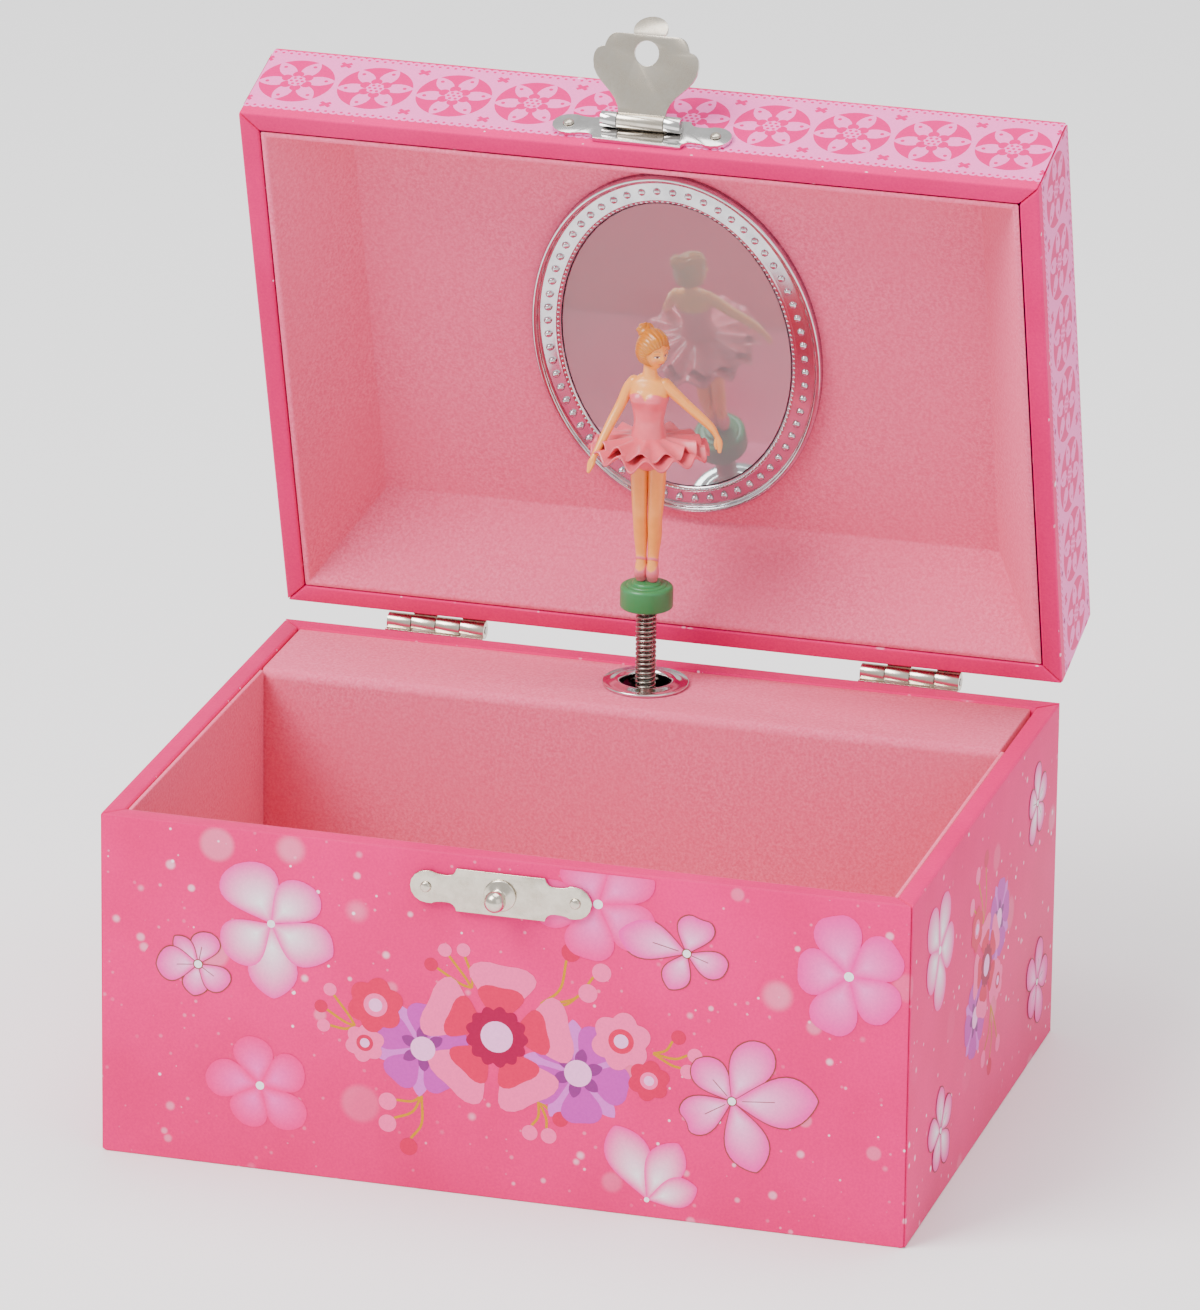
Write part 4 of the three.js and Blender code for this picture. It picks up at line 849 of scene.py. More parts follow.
# %% Body and bodice
def body_form():
    """Ellipses stacked from hip to neck. The bodice stands slightly proud, up to its heart-shaped edge."""
    knots = [(0, 0, 25.6, 3.9, 3.5), (0, 0, 27.4, 3.75, 3.3), (0, 0, 29.4, 3.1, 2.6),
             (0, -0.05, 31.6, 2.72, 2.2),
             (0, -0.1, 34.0, 3.05, 2.4), (0, -0.1, 36.3, 3.62, 2.55), (0, 0.0, 38.0, 3.85, 2.2),
             (0, 0.1, 39.2, 3.75, 1.75),
             (0, 0.15, 40.0, 2.5, 1.45), (0.05, 0.1, 40.7, 1.5, 1.3), (0.1, -0.05, 42.0, 1.25, 1.25),
             (0.2, -0.15, 44.0, 1.25, 1.25)]
    grid = limb(knots, count=170, sides=72)
    x, z = grid[..., 0], grid[..., 2]
    front = np.clip(-grid[..., 1] / 2.5, -1, 1)
    out = grid - grid.mean(axis=1, keepdims=True)
    out /= np.maximum(np.linalg.norm(out, axis=-1, keepdims=True), 1e-6)
    bust = sum(bump_at(grid, (s * 1.65, -2.5, 36.2), (1.3, 1.6, 1.3), 0.75) for s in (-1, 1))
    heart = 36.9 + 0.75 * np.maximum(front,
                                     0) * np.cos(np.clip((np.abs(x) - 1.65) / 1.65, -1,
                                                         1) * math.pi / 2 * 1.15)
    heart = np.where(front > 0, heart - 0.35 * np.exp(-(x / 0.35) ** 2), 36.9 + 0.3 * front)
    dress = smooth_step(z, heart + 0.1, heart - 0.1)
    seam = np.exp(-((z - 28.0) / 0.16) ** 2)
    lift = bust + 0.14 * dress - 0.12 * seam
    # Painted shade: the colour is darkened by a tenth in a band along the waist seam, under the skirt.
    shade = 0.10 * np.exp(-((z - 28.0) / 0.25) ** 2)
    colours = paint(SKIN, DRESS, dress) * (1 - shade)[..., None]
    return grid + out * lift[..., None], colours


# %% Ruffled skirt
def ruffle(inner, outer, height, waves, depth, thick, phase):
    """A frilled disc. Round the edge it rises and falls as a sine, deeper towards the rim, and the folds lean
    out and in with it, so that they curl. Its section runs out over the top, round the hem and back below."""
    turn = np.linspace(0, 2 * math.pi, waves * 22 + 1)
    run = np.linspace(0, 1, 26)
    section = np.concatenate([run, run[::-1], run[:1]])[:, None]
    side = np.concatenate([np.ones(26), -np.ones(26), np.ones(1)])[:, None]
    swell = 1 + 0.25 * np.sin(3 * turn + phase) + 0.15 * np.sin(7 * turn + 2 * phase)
    fold = np.sin(waves * turn + phase + 0.5 * np.sin(2 * turn))
    deep = depth * section ** 1.5 * swell
    shear = 0.22 * deep * np.cos(waves * turn + phase) - 0.3 * deep * (1 + fold)
    radius = inner + (outer - inner) * section + shear
    lift = height - 1.1 * section ** 1.3 + deep * fold + side * thick * (1 - 0.45 * section)
    # Painted shade: the dress colour is darkened by up to a sixth in the troughs of the folds, more towards
    # the hem.
    painted_fold_shade = 1 - 0.16 * smooth_step(fold, 0.1, -1.0) * section
    grid = np.stack([radius * np.cos(turn), radius * np.sin(turn) + 0.15, lift], axis=-1)
    return grid, DRESS * painted_fold_shade[..., None]


def skirt():
    """Two frilled layers, the upper one smaller and finer, over a plain hip yoke that they hang from."""
    lower = ruffle(2.8, 11.4, 27.2, 13, 1.0, 0.36, 0.4)
    upper = ruffle(2.8, 9.9, 28.5, 13, 0.95, 0.32, 1.9)
    yoke = [(0, 26.2), (3.3, 26.2), (5.4, 26.6), (5.7, 27.2), (4.9, 27.9), (4.1, 28.3), (3.4, 28.6),
            (0, 28.6)]
    return [lower, upper, (revolved(through(yoke, 40), (0, 0, 0), sides=64), DRESS)]


# %% Arms and hands
def arm(knots, hand_way):
    """An arm from shoulder to fingertips: the last knots flatten into a cupped hand, and a thumb lies
    beside it."""
    grid = limb(knots, count=64, sides=24)
    wrist, tip = np.array(knots[-3][:3]), np.array(knots[-1][:3])
    way = np.asarray(hand_way, float)
    root = wrist + (tip - wrist) * 0.25 + way * 0.35
    thumb = limb([(*root, 0.26, 0.26), (*(root + (tip - wrist) * 0.3 + way * 0.35), 0.27, 0.27),
                  (*(root + (tip - wrist) * 0.55 + way * 0.25), 0.2, 0.2)], count=10, sides=10)
    return [(grid, SKIN), (thumb, SKIN)]


LEFT_ARM = [(-3.0, 0.1, 39.0, 1.2, 1.2), (-4.0, -0.2, 37.6, 1.12, 1.1), (-5.2, -1.2, 34.6, 0.98, 0.98),
            (-6.5, -2.8, 31.6, 0.9, 0.88),
            (-7.6, -4.8, 28.6, 0.78, 0.76), (-8.6, -6.6, 26.0, 0.56, 0.52), (-9.0, -7.3, 24.6, 0.72, 0.46),
            (-9.4, -7.7, 23.1, 0.36, 0.28)]
RIGHT_ARM = [(3.0, 0.1, 39.0, 1.2, 1.2), (4.4, 0.0, 37.8, 1.12, 1.1), (7.2, 0.1, 35.4, 0.98, 0.98),
             (9.6, 0.1, 33.5, 0.9, 0.88),
             (11.9, 0.2, 31.5, 0.76, 0.74), (13.0, 0.2, 29.9, 0.55, 0.52), (13.5, 0.1, 28.6, 0.7, 0.46),
             (13.7, -0.1, 27.0, 0.36, 0.28)]


# %% Head, face and hair
HEAD_TURN, HEAD_BOW = math.radians(56), math.radians(8)
HEAD_AT = np.array([0.55, -0.35, 45.6])


def bow_and_turn(grid):
    """Bows the head forward about its own X axis, turns it about Z, and sets it on the neck."""
    bowed = turned_about_x(grid, (0, 0, 0), HEAD_BOW)
    x, y = bowed[..., 0], bowed[..., 1]
    turned = bowed.copy()
    turned[..., 0] = x * math.cos(HEAD_TURN) - y * math.sin(HEAD_TURN)
    turned[..., 1] = x * math.sin(HEAD_TURN) + y * math.cos(HEAD_TURN)
    return turned + HEAD_AT


def head():
    """An egg that narrows to the chin, with brow, sockets, nose, lips and cheeks as soft mounds and hollows.
    Hair is everything behind and above the hairline: it stands proud, combed back in fine grooves."""
    rows, columns = 190, 200
    down = np.linspace(0, math.pi, rows)[:, None]
    turn = np.linspace(-math.pi, math.pi, columns + 1)[None, :]
    side, fore, up = np.sin(down) * np.sin(turn), -np.sin(down) * np.cos(turn), np.cos(down) + 0 * turn
    narrow = 1 - 0.34 * smooth_step(-up, 0.05, 1.0)
    grid = np.stack([2.72 * side * narrow, 3.0 * fore * (1 - 0.16 * smooth_step(-up, 0.3, 1.0)), 3.95 * up],
                    axis=-1)
    x, y, z = grid[..., 0], grid[..., 1], grid[..., 2]
    out = np.stack([side, fore, up], axis=-1)
    lift = bump_at(grid, (0, -3.0, -0.75), (0.42, 1.0, 0.55), 0.55) + bump_at(grid, (0, -3.0, 0.1),
                                                                              (0.3, 1.0, 0.9), 0.2)
    lift += bump_at(grid, (0, -2.7, -1.75), (0.6, 1.0, 0.22), 0.2) + bump_at(grid, (0, -2.4, -3.0),
                                                                             (0.8, 1.0, 0.6), 0.25)
    for eye in (-1, 1):
        lift += bump_at(grid, (eye * 1.05, -2.8, 0.0), (0.6, 1.0, 0.42), -0.24)
        lift += bump_at(grid, (eye * 1.05, -2.8, -0.02), (0.42, 1.0, 0.24), 0.17)
        lift += bump_at(grid, (eye * 1.35, -2.3, -1.2), (0.7, 1.0, 0.6), 0.16)
    hairline = 1.75 - 0.28 * x ** 2 + 0.12 * np.cos(4 * x)
    behind = smooth_step(y, -1.55 + 0.22 * z, -1.15 + 0.22 * z)
    low_edge = smooth_step(z, -2.6, -2.1)
    hair = np.maximum(smooth_step(z, hairline - 0.07, hairline + 0.07), behind) * low_edge
    comb_lines = np.sin(46 * np.arctan2(x, z + 1.5)) * np.exp(-((x / 2.6) ** 2) * 0.2)
    waves = bump_at(grid, (0.9, -2.2, 2.9), (0.95, 1.1, 0.8), 0.42) + bump_at(grid, (-0.9, -2.2, 2.8),
                                                                              (0.9, 1.1, 0.8), 0.34)
    lift += hair * (0.34 + 0.045 * comb_lines + waves)
    colours = paint(np.broadcast_to(SKIN, grid.shape), HAIR, hair)
    # Painted shade: the hair is darkened by up to a sixth along the bottoms of its comb grooves.
    colours *= (1 - 0.16 * hair * smooth_step(comb_lines, -0.2, -1.0))[..., None]
    return grid + out * lift[..., None], face_paint(colours, grid)


def face_paint(colours, grid):
    """Lashes, brows, lips and blush, each a soft-edged spot or arc on the front of the head."""
    x, y, z = grid[..., 0], grid[..., 1], grid[..., 2]
    front = (y < -0.6).astype(float)
    for eye in (-1, 1):
        out = eye * x
        lid = -0.05 - 0.34 * (out - 1.05) ** 2
        lash = smooth_step(np.abs(z - lid), 0.13, 0.07) * smooth_step(np.abs(out - 1.08), 0.58, 0.5)
        iris = smooth_step(np.hypot((out - 1.02) / 0.26, (z + 0.24) / 0.22), 1.15, 0.85)
        white = smooth_step(np.hypot((out - 1.05) / 0.5, (z + 0.2) / 0.24), 1.1, 0.9)
        brow = smooth_step(np.abs(z - 0.92 + 0.45 * (out - 1.15) ** 2), 0.1,
                           0.04) * smooth_step(np.abs(out - 1.1), 0.62, 0.5)
        colours = paint(colours, BLUSH, bump_at(grid, (eye * 1.5, -2.2, -1.1), (0.6, 1.2, 0.5), 0.45) * front)
        colours = paint(colours, linear("#FBEDE0"), white * front)
        colours = paint(colours, LASHES, np.maximum(np.maximum(lash * 0.9, iris), brow * 0.5) * front)
    lips = smooth_step(np.hypot(x / 0.55, (z + 1.78) / (0.2 + 0.03 * np.cos(6 * x))), 1.15, 0.85)
    return paint(colours, LIPS, lips * front)


def bun():
    """A round knot of hair: a ball with a spiral of grooves, and a small twist on top."""
    down = np.linspace(0, math.pi, 36)[:, None]
    turn = np.linspace(0, 2 * math.pi, 61)[None, :]
    swirl = 1 + 0.07 * np.sin(5 * turn + 5 * down)
    ball = np.stack([np.sin(down) * np.cos(turn), np.sin(down) * np.sin(turn), np.cos(down) + 0 * turn],
                    axis=-1)
    knot = ball * swirl[..., None] * [1.75, 1.5, 1.3] + [0, 2.5, 3.1]
    # Painted shade: the bun's hair is darkened by up to a seventh in its spiral grooves.
    return bow_and_turn(knot), HAIR * (1 - 0.14 * smooth_step(np.sin(5 * turn + 5 * down), 0.0, -1.0))[...,
                                                                                                       None]


# %% Put the dancer together
def dancer():
    """All the cast forms as one painted piece, moved to the base and riding with it."""
    head_grid, head_colours = head()
    forms = [leg(-1), leg(1), body_form(), *skirt(), *arm(LEFT_ARM, (0.5, -0.6, 0)),
             *arm(RIGHT_ARM, (-0.7, -0.4, 0)),
             (bow_and_turn(head_grid), head_colours), bun()]
    piece = make_piece("dancer_figure", [on_figure(g) for g, _ in forms], body_of("dancer"), VINYL,
                       colours=[c for _, c in forms])
    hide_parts("dancer")
    return piece


figure = dancer()
print("dancer:", len(figure.data.polygons), "faces,",
      round(max(v.co.z for v in figure.data.vertices) / MM - FEET, 1), "mm tall")


# %% [markdown]
# ## The printed flowers
# The sheet's flowers are flat shapes printed one over another. Each is a fan of rings that shrink from its
# outline to a point inside it, with one colour at the middle and one at the edge, so petals can fade as an
# airbrushed print does. They lie a few thousandths of a millimetre above each other, as layers of ink do, so
# that none of them flickers through the next.

# %% Faces of the box that carry print
LID_BOTTOM = shut_span("lid_front_panel")[0][2]
LID_TOP = shut_span("lid_top_panel")[1][2]
INK_STEP = 0.006
FACES = {
    "front": ((0, FRONT, 0), (1, 0, 0), (0, 0, 1), (0, -1, 0)),
    "back": ((0, BACK, 0), (-1, 0, 0), (0, 0, 1), (0, 1, 0)),
    "right": ((HALF_WIDTH, 0, 0), (0, 1, 0), (0, 0, 1), (1, 0, 0)),
    "left": ((-HALF_WIDTH, 0, 0), (0, -1, 0), (0, 0, 1), (-1, 0, 0)),
    "top": ((0, 0, LID_TOP), (1, 0, 0), (0, 1, 0), (0, 0, 1)),
}


def on_face(flat, face, layer):
    """Flat (across, up) points laid on a face: origin plus across and up, raised by the ink's layer and by a
    hair for each shape, so that no two that overlap share a plane."""
    origin, across, up, out = (np.array(v, float) for v in FACES[face])
    return origin + flat[..., :1] * across + flat[..., 1:] * up + out * INK_STEP * (layer + 1)


class Print:
    """A printed sheet for one face: the shapes and colours that have been drawn on it so far."""

    def __init__(self, face, lid=False, limits=None):
        self.face, self.lid, self.limits, self.grids, self.colours = face, lid, limits, [], []

    def add(self, flat, colours, layer):
        """Keeps one grid of flat points inside the sheet's edges, and lays it on the face."""
        if self.limits is not None:
            flat = np.clip(flat, self.limits[0], self.limits[1])
        grid = on_face(flat, self.face, layer + 0.06 * (len(self.grids) % 14))
        self.grids.append(open_lid(grid) if self.lid else grid)
        self.colours.append(colours)

    def shape(self, outline, middle, inner, outer, layer, rings=2, fade=1.0):
        """A filled outline, drawn as rings that shrink to the middle, from the outer colour to the inner."""
        outline = np.vstack([outline, outline[:1]])[::-1]
        share = np.linspace(0, 1, rings)[:, None, None]
        flat = np.asarray(middle) + share * (outline - np.asarray(middle))
        colours = inner + (outer - inner) * np.broadcast_to(share ** fade, (rings, len(outline), 1))
        self.add(flat, colours, layer)

    def disc(self, middle, radius, colour, layer, sides=24, lobes=0, depth=0.0, turn=0.0, inner=None):
        """A disc, or a rosette whose radius rises and falls by depth in a number of lobes."""
        angle = np.linspace(0, 2 * math.pi, sides, endpoint=False)
        reach = radius * (1 + depth * np.abs(np.cos(lobes * (angle - turn) / 2)) - depth) if lobes else radius
        outline = np.asarray(middle) + np.stack([reach * np.cos(angle), reach * np.sin(angle)], axis=1)
        self.shape(outline, middle, colour if inner is None else inner, colour, layer,
                   rings=2 if inner is None else 6)

    def stroke(self, points, width, colour, layer, count=16):
        """A line of even width along a smooth path through a few points."""
        line = through(points, count)
        along = np.gradient(line, axis=0)
        along /= np.linalg.norm(along, axis=1, keepdims=True)
        side = np.stack([-along[:, 1], along[:, 0]], axis=1) * width / 2
        self.add(np.stack([line + side, line - side], axis=1), colour, layer)

    def piece(self, name, body, slot):
        """The sheet's shapes as one inked piece."""
        return make_piece(name, self.grids, body, INKS, colours=self.colours, solid=False, smooth=False)


def petal(root, length, width, angle, notch=0.0, fullness=0.62, sides=34, bend=0.0):
    """A petal's outline. Half its width is sin(pi s^fullness') along its length s, so it widens slowly
    and ends
    round; more fullness puts the widest part further out. A notch dents the tip, and a bend leans it."""
    s = 0.5 - 0.5 * np.cos(np.linspace(0, 2 * math.pi, sides, endpoint=False))
    side = np.where(np.arange(sides) <= sides // 2, 1.0, -1.0)
    power = math.log(0.5) / math.log(fullness)
    half = np.sin(math.pi * np.clip(s, 0, 1) ** power) ** 0.72
    out = length * s - notch * length * np.exp(-(half / 0.45) ** 2) * (s > 0.5)
    across = side * half * width / 2 + bend * s ** 2
    turn = math.radians(angle)
    flat = np.stack([out * math.cos(turn) - across * math.sin(turn),
                     out * math.sin(turn) + across * math.cos(turn)], axis=1)
    return (flat + np.asarray(root, float))[::-1]


PALE, ROSE, DEEP, MAROON = linear("#FB5C9C"), linear("#D8004C"), linear("#D0004C"), linear("#9E0642")
LILAC, PURPLE, PLUM, CREAM = linear("#D262C6"), linear("#BC38A6"), linear("#853078"), linear("#F5A6DC")
OLIVE, OUTLINE, WHITE, MILK = linear("#C48408"), linear("#7C4828"), linear("#F4EDF3"), linear("#F9B4DE")
PETAL_PINK = linear("#F22CA0")
print("print faces:", list(FACES))


# %% [markdown]
# ## Flower kinds
# The print uses a few kinds of flower: a large five-petalled one in three tones, purple ones with eight
# petals, small round ones, berries on stems, and blossoms with a thin brown outline or none. Each kind is a
# short function with a place and a size, so the same kinds serve every side of the box.

# %% Flower kinds
def rotate_way(angle):
    """The unit direction at an angle in degrees."""
    return np.array([math.cos(math.radians(angle)), math.sin(math.radians(angle))])


def grand_flower(sheet, at, size, turn):
    """Five wide notched petals in pale rose, five smaller deep ones on them, and a scalloped maroon eye."""
    at = np.asarray(at, float)
    for k in range(5):
        angle = turn + 72 * k
        for length, colour, layer in ((size, PALE, 6), (0.69 * size, ROSE, 7)):
            outline = petal(at, length, 0.84 * length, angle, notch=0.08, fullness=0.78)
            sheet.shape(outline, at + rotate_way(angle) * length * 0.6, colour, colour, layer)
    sheet.disc(at, 0.39 * size, MAROON, 8, sides=96, lobes=13, depth=0.14)
    sheet.disc(at, 0.2 * size, CREAM, 9)


def purple_flower(sheet, at, size, turn):
    """Four broad purple petals between four lilac ones, with six small plum petals round a cream eye."""
    at = np.asarray(at, float)
    for k in range(5):
        angle = turn + 72 * k
        broad = petal(at, size, 0.74 * size, angle, notch=0.09, fullness=0.7)
        sheet.shape(broad, at + rotate_way(angle) * size * 0.6, PURPLE, PURPLE, 4)
        sheet.shape(petal(at, 0.98 * size, 0.36 * size, angle + 36),
                    at + rotate_way(angle + 36) * size * 0.7, LILAC, LILAC, 3)
    for k in range(6):
        angle = turn + 20 + 60 * k
        sheet.shape(petal(at, 0.46 * size, 0.22 * size, angle), at + rotate_way(angle) * size * 0.3, PLUM,
                    PLUM, 5)
    sheet.disc(at, 0.245 * size, CREAM, 6)


def small_flower(sheet, at, size, colour, ring, turn=20):
    """Six round lobes in one colour, with a ring of another and a cream eye."""
    sheet.disc(at, size, colour, 8, sides=96, lobes=6, depth=0.2, turn=math.radians(turn))
    sheet.disc(at, 0.42 * size, ring, 9)
    sheet.disc(at, 0.24 * size, CREAM, 10)


def berries(sheet, root, tips, radius):
    """Olive stems that spread from a root, each with a round berry at its tip, pale and deep by turns."""
    root = np.asarray(root, float)
    for k, tip in enumerate(tips):
        tip = np.asarray(tip, float)
        middle = (root + tip) / 2 + np.array([0.12, -0.12]) * np.linalg.norm(tip - root)
        sheet.stroke([root, middle, tip], 0.5, OLIVE, 2)
        way = (tip - root) / np.linalg.norm(tip - root)
        sheet.disc(tip + way * radius, radius, (PALE, DEEP)[k % 2], 3)


def blossom(sheet, at, petals, inner, outer, outlined, eye=0.75):
    """A blossom from a list of petals (angle, length, width, notch, bend). Its petals fade from the eye
    outwards; an outlined one lies on slightly larger brown petals and has a vein in every other one."""
    at = np.asarray(at, float)
    for k, (angle, length, width, notch, bend) in enumerate(petals):
        layer = 11 + 2 * (k % 3)
        way = rotate_way(angle)
        if outlined:
            rim = petal(at - way * 0.2, length + 0.42, width + 0.42, angle, notch, bend=bend)
            sheet.shape(rim, at + way * length * 0.55, OUTLINE, OUTLINE, layer)
        fill = petal(at, length, width, angle, notch, bend=bend)
        sheet.shape(fill, at + way * length * (0.25 if outlined else 0.3), inner, outer, layer + 1, rings=8,
                    fade=0.9)
        if outlined and k % 2 == 0:
            vein = [at + way * length * s + np.array([-way[1], way[0]]) * width * 0.1 * s for s in (0.12,
                                                                                                    0.3, 0.5)]
            sheet.stroke(vein, 0.13, OUTLINE, 18, count=8)
    if outlined:
        sheet.disc(at, eye + 0.2, OUTLINE, 19)
    sheet.disc(at, eye, WHITE, 20)


def even_petals(turn, length, width, count=5, notch=0.05, bend=0.0):
    """Petals all round, alternately a little longer and shorter, so that they don't look stamped."""
    return [(turn + 360 / count * k, length * (1 + 0.12 * math.sin(2.4 * k)), width, notch,
             bend) for k in range(count)]


print("flower kinds ready")


# %% Front print
def front_print():
    """The front sheet: the posy in the middle, and blossoms round it."""
    sheet = Print("front", limits=((-HALF_WIDTH + 0.3, 0.3), (HALF_WIDTH - 0.3, RIM - 0.6)))
    berries(sheet, (-27.5, 30.5), [(-31.5, 36.0), (-32.8, 33.0), (-32.2, 30.0)], 1.25)
    berries(sheet, (-5.5, 40.5), [(-9.8, 46.2), (-12.0, 43.6), (-6.8, 46.4)], 1.3)
    berries(sheet, (7.5, 39.0), [(17.3, 45.4), (12.2, 48.0), (14.6, 41.5)], 1.8)
    berries(sheet, (28.6, 32.0), [(35.0, 32.4), (32.2, 34.8), (33.8, 29.8)], 1.4)
    berries(sheet, (-14.8, 18.4), [(-20.0, 13.4), (-16.8, 9.8), (-19.6, 17.0)][::-1], 1.7)
    berries(sheet, (7.2, 20.4), [(6.0, 15.2), (10.2, 18.0), (8.8, 15.0)], 1.5)
    purple_flower(sheet, (-14.6, 27.6), 9.6, 14)
    purple_flower(sheet, (14.6, 26.4), 10.6, 60)
    grand_flower(sheet, (-0.7, 31.6), 15.2, 13)
    small_flower(sheet, (-23.6, 35.0), 5.4, ROSE, PALE)
    small_flower(sheet, (-25.6, 27.4), 3.8, PALE, DEEP)
    small_flower(sheet, (22.6, 33.6), 5.7, PALE, ROSE)
    small_flower(sheet, (27.9, 26.6), 4.0, DEEP, PALE)
    blossom(sheet, (-43.4, 48.4),
            [(118, 13.5, 11.5, 0.06, 1.0), (48, 11.8, 8.8, 0.05, -1.0), (-30, 12.6, 9.5, 0.0, 1.5),
                                   (-88, 14.5, 9.5, 0.0, 0.0), (-142, 11.5, 9.5, 0.04, 0.0)], WHITE,
            linear("#F63CA4"), False)
    blossom(sheet, (-57.3, 38.9),
            [(74, 7.0, 5.4, 0.05, -0.6), (132, 6.6, 3.6, 0.0, 0.0), (182, 8.2, 6.6, 0.03, 0.6),
                                   (262, 6.2, 4.8, 0.0, 0.0), (322, 7.2, 5.4, 0.08, 0.5)], MILK, PETAL_PINK,
            True)
    blossom(sheet, (34.6, 52.0),
            [(164, 13.0, 7.6, 0.0, 0.9), (74, 8.4, 6.8, 0.14, -0.6), (-22, 8.4, 5.4, 0.08, 0.6),
             (246, 7.8, 5.2, 0.0, 0.0)],
            MILK, PETAL_PINK, True)
    blossom(sheet, (43.4, 24.6),
            [(130, 10.4, 6.6, 0.05, 0.5), (66, 14.0, 8.0, 0.06, -0.6), (2, 16.0, 9.8, 0.0, 1.4),
                                  (290, 14.0, 8.2, 0.0, 0.0), (208, 11.6, 7.4, 0.16, 0.4)], MILK,
            PETAL_PINK, True)
    faint = linear("#F4289A")
    blossom(sheet, (-45.5, 16.6), even_petals(100, 10.2, 7.6, bend=0.6), linear("#F85CB8"),
            linear("#F2107E"), False, 0.8)
    blossom(sheet, (64.6, 51.2), even_petals(34, 12.0, 9.0, notch=0.1), linear("#F97CC6"), faint, False, 0.9)
    blossom(sheet, (18.0, 59.5), even_petals(-30, 12.4, 9.4, notch=0.1), linear("#F872C0"),
            linear("#F41C88"), False, 0.9)
    blossom(sheet, (27.8, 3.5),
            [(112, 15.0, 8.6, 0.0, 0.6), (66, 13.0, 7.4, 0.0, -0.5), (20, 10.0, 6.0, 0.0, 0.0)], WHITE,
            faint, False, 0.5)
    return sheet.piece("front_print", "case", "printed_paper_board")


front_sheet = front_print()
print("front print:", len(front_sheet.data.polygons), "faces")


# %% Side, back and top prints
def posy(sheet, at, size):
    """A smaller bunch in the same flowers, which stands in the middle of each side."""
    at = np.asarray(at, float)

    def spread(x, y):
        """A place in the bunch, in shares of its size."""
        return at + np.array([x, y]) * size

    berries(sheet, spread(-0.3, 0.9), [spread(-0.7, 1.8), spread(-0.2, 1.9), spread(-1.0, 1.4)], 0.16 * size)
    berries(sheet, spread(0.4, -0.9), [spread(0.9, -1.7), spread(0.4, -1.9), spread(0.0, -1.6)], 0.16 * size)
    purple_flower(sheet, spread(-0.75, -0.7), 0.8 * size, 40)
    purple_flower(sheet, spread(0.85, 0.55), 0.8 * size, 5)
    grand_flower(sheet, at, size, 31)
    small_flower(sheet, spread(-0.75, 0.95), 0.42 * size, ROSE, PALE)
    small_flower(sheet, spread(0.85, -0.6), 0.36 * size, PALE, DEEP)


def side_print(face, half, name):
    """A side of the case: the posy, two outlined blossoms and two pale ones towards the corners."""
    sheet = Print(face, limits=((-half + 0.3, 0.3), (half - 0.3, RIM - 0.6)))
    posy(sheet, (1.5, 33.5), 10.5)
    blossom(sheet, (-0.63 * half, 50.0), even_petals(60, 11.5, 8.5, notch=0.06), WHITE, linear("#F540A4"),
            False, 0.8)
    blossom(sheet, (0.7 * half, 52.0), even_petals(20, 8.0, 5.4, notch=0.08), WHITE, PETAL_PINK, True, 0.6)
    blossom(sheet, (0.76 * half, 15.0), even_petals(75, 9.0, 6.0, notch=0.06), MILK, PETAL_PINK, True, 0.6)
    blossom(sheet, (-0.56 * half, 13.5), even_petals(95, 9.0, 6.0, notch=0.04), WHITE, PETAL_PINK, True, 0.6)
    return sheet.piece(name, "case", "printed_paper_board")


def lid_top_print():
    """The lid's outer face repeats the posy, larger, with blossoms towards the corners."""
    sheet = Print("top", lid=True, limits=((-HALF_WIDTH + 0.4, FRONT + 0.4), (HALF_WIDTH - 0.4, BACK - 0.4)))
    posy(sheet, (0, 0), 17.0)
    for k, (x, y) in enumerate(((-52, 28), (50, 30), (54, -26), (-50, -30))):
        outlined = k % 2 == 0
        blossom(sheet, (x, y), even_petals(25 + 40 * k, 13.0, 9.0, notch=0.06), MILK,
                PETAL_PINK if outlined else linear("#F540A4"), outlined)
    return sheet.piece("lid_top_print", "lid", "printed_paper_board")


for face, half in (("right", BACK), ("left", BACK), ("back", HALF_WIDTH)):
    print(side_print(face, half, face + "_print").name)
print(lid_top_print().name)


# %% [markdown]
# ## The lace band
# Round the lid's edge runs a printed band of paper lace: pale pink, with a row of round medallions cut out of
# it, a six-petalled flower in each, small crosses between them, and a border of loops along both edges. It is
# one repeat, a medallion wide, so it is drawn once as a function and stepped along each side.

# %% Lace band
LACE, LACE_GROUND = linear("#FB78C0"), linear("#E20074")
BAND_LOW, BAND_HIGH = LID_BOTTOM + 3.6, LID_TOP - 1.9
REPEAT = 15.2


def medallion(sheet, at, radius):
    """A pink disc with six pale petals, a pink dot in each, a pink rosette and a pale beaded middle."""
    at = np.asarray(at, float)
    sheet.disc(at, radius, LACE_GROUND, 1, sides=40)
    for k in range(6):
        way = rotate_way(60 * k + 8)
        sheet.shape(petal(at + way * 0.15 * radius, 0.87 * radius, 0.44 * radius, 60 * k + 8, fullness=0.5,
                          sides=18), at + way * 0.55 * radius, LACE, LACE, 2)
        sheet.disc(at + way * 0.78 * radius, 0.055 * radius, LACE_GROUND, 3, sides=8)
        gap = rotate_way(60 * k + 38)
        sheet.disc(at + gap * 0.31 * radius, 0.15 * radius, LACE_GROUND, 3, sides=14)
    sheet.disc(at, 0.25 * radius, LACE, 4, sides=40, lobes=8, depth=0.18)
    for k in range(7):
        reach = 0.15 * radius * min(k, 1)
        sheet.disc(at + rotate_way(60 * k) * reach, 0.045 * radius, LACE_GROUND, 5, sides=8)


def cross(sheet, at, size):
    """A small diagonal cross, the gap that four medallions leave."""
    for angle in (35, 145):
        way = rotate_way(angle) * size
        sheet.stroke([at - way, at, at + way], 0.75, LACE_GROUND, 2, count=4)


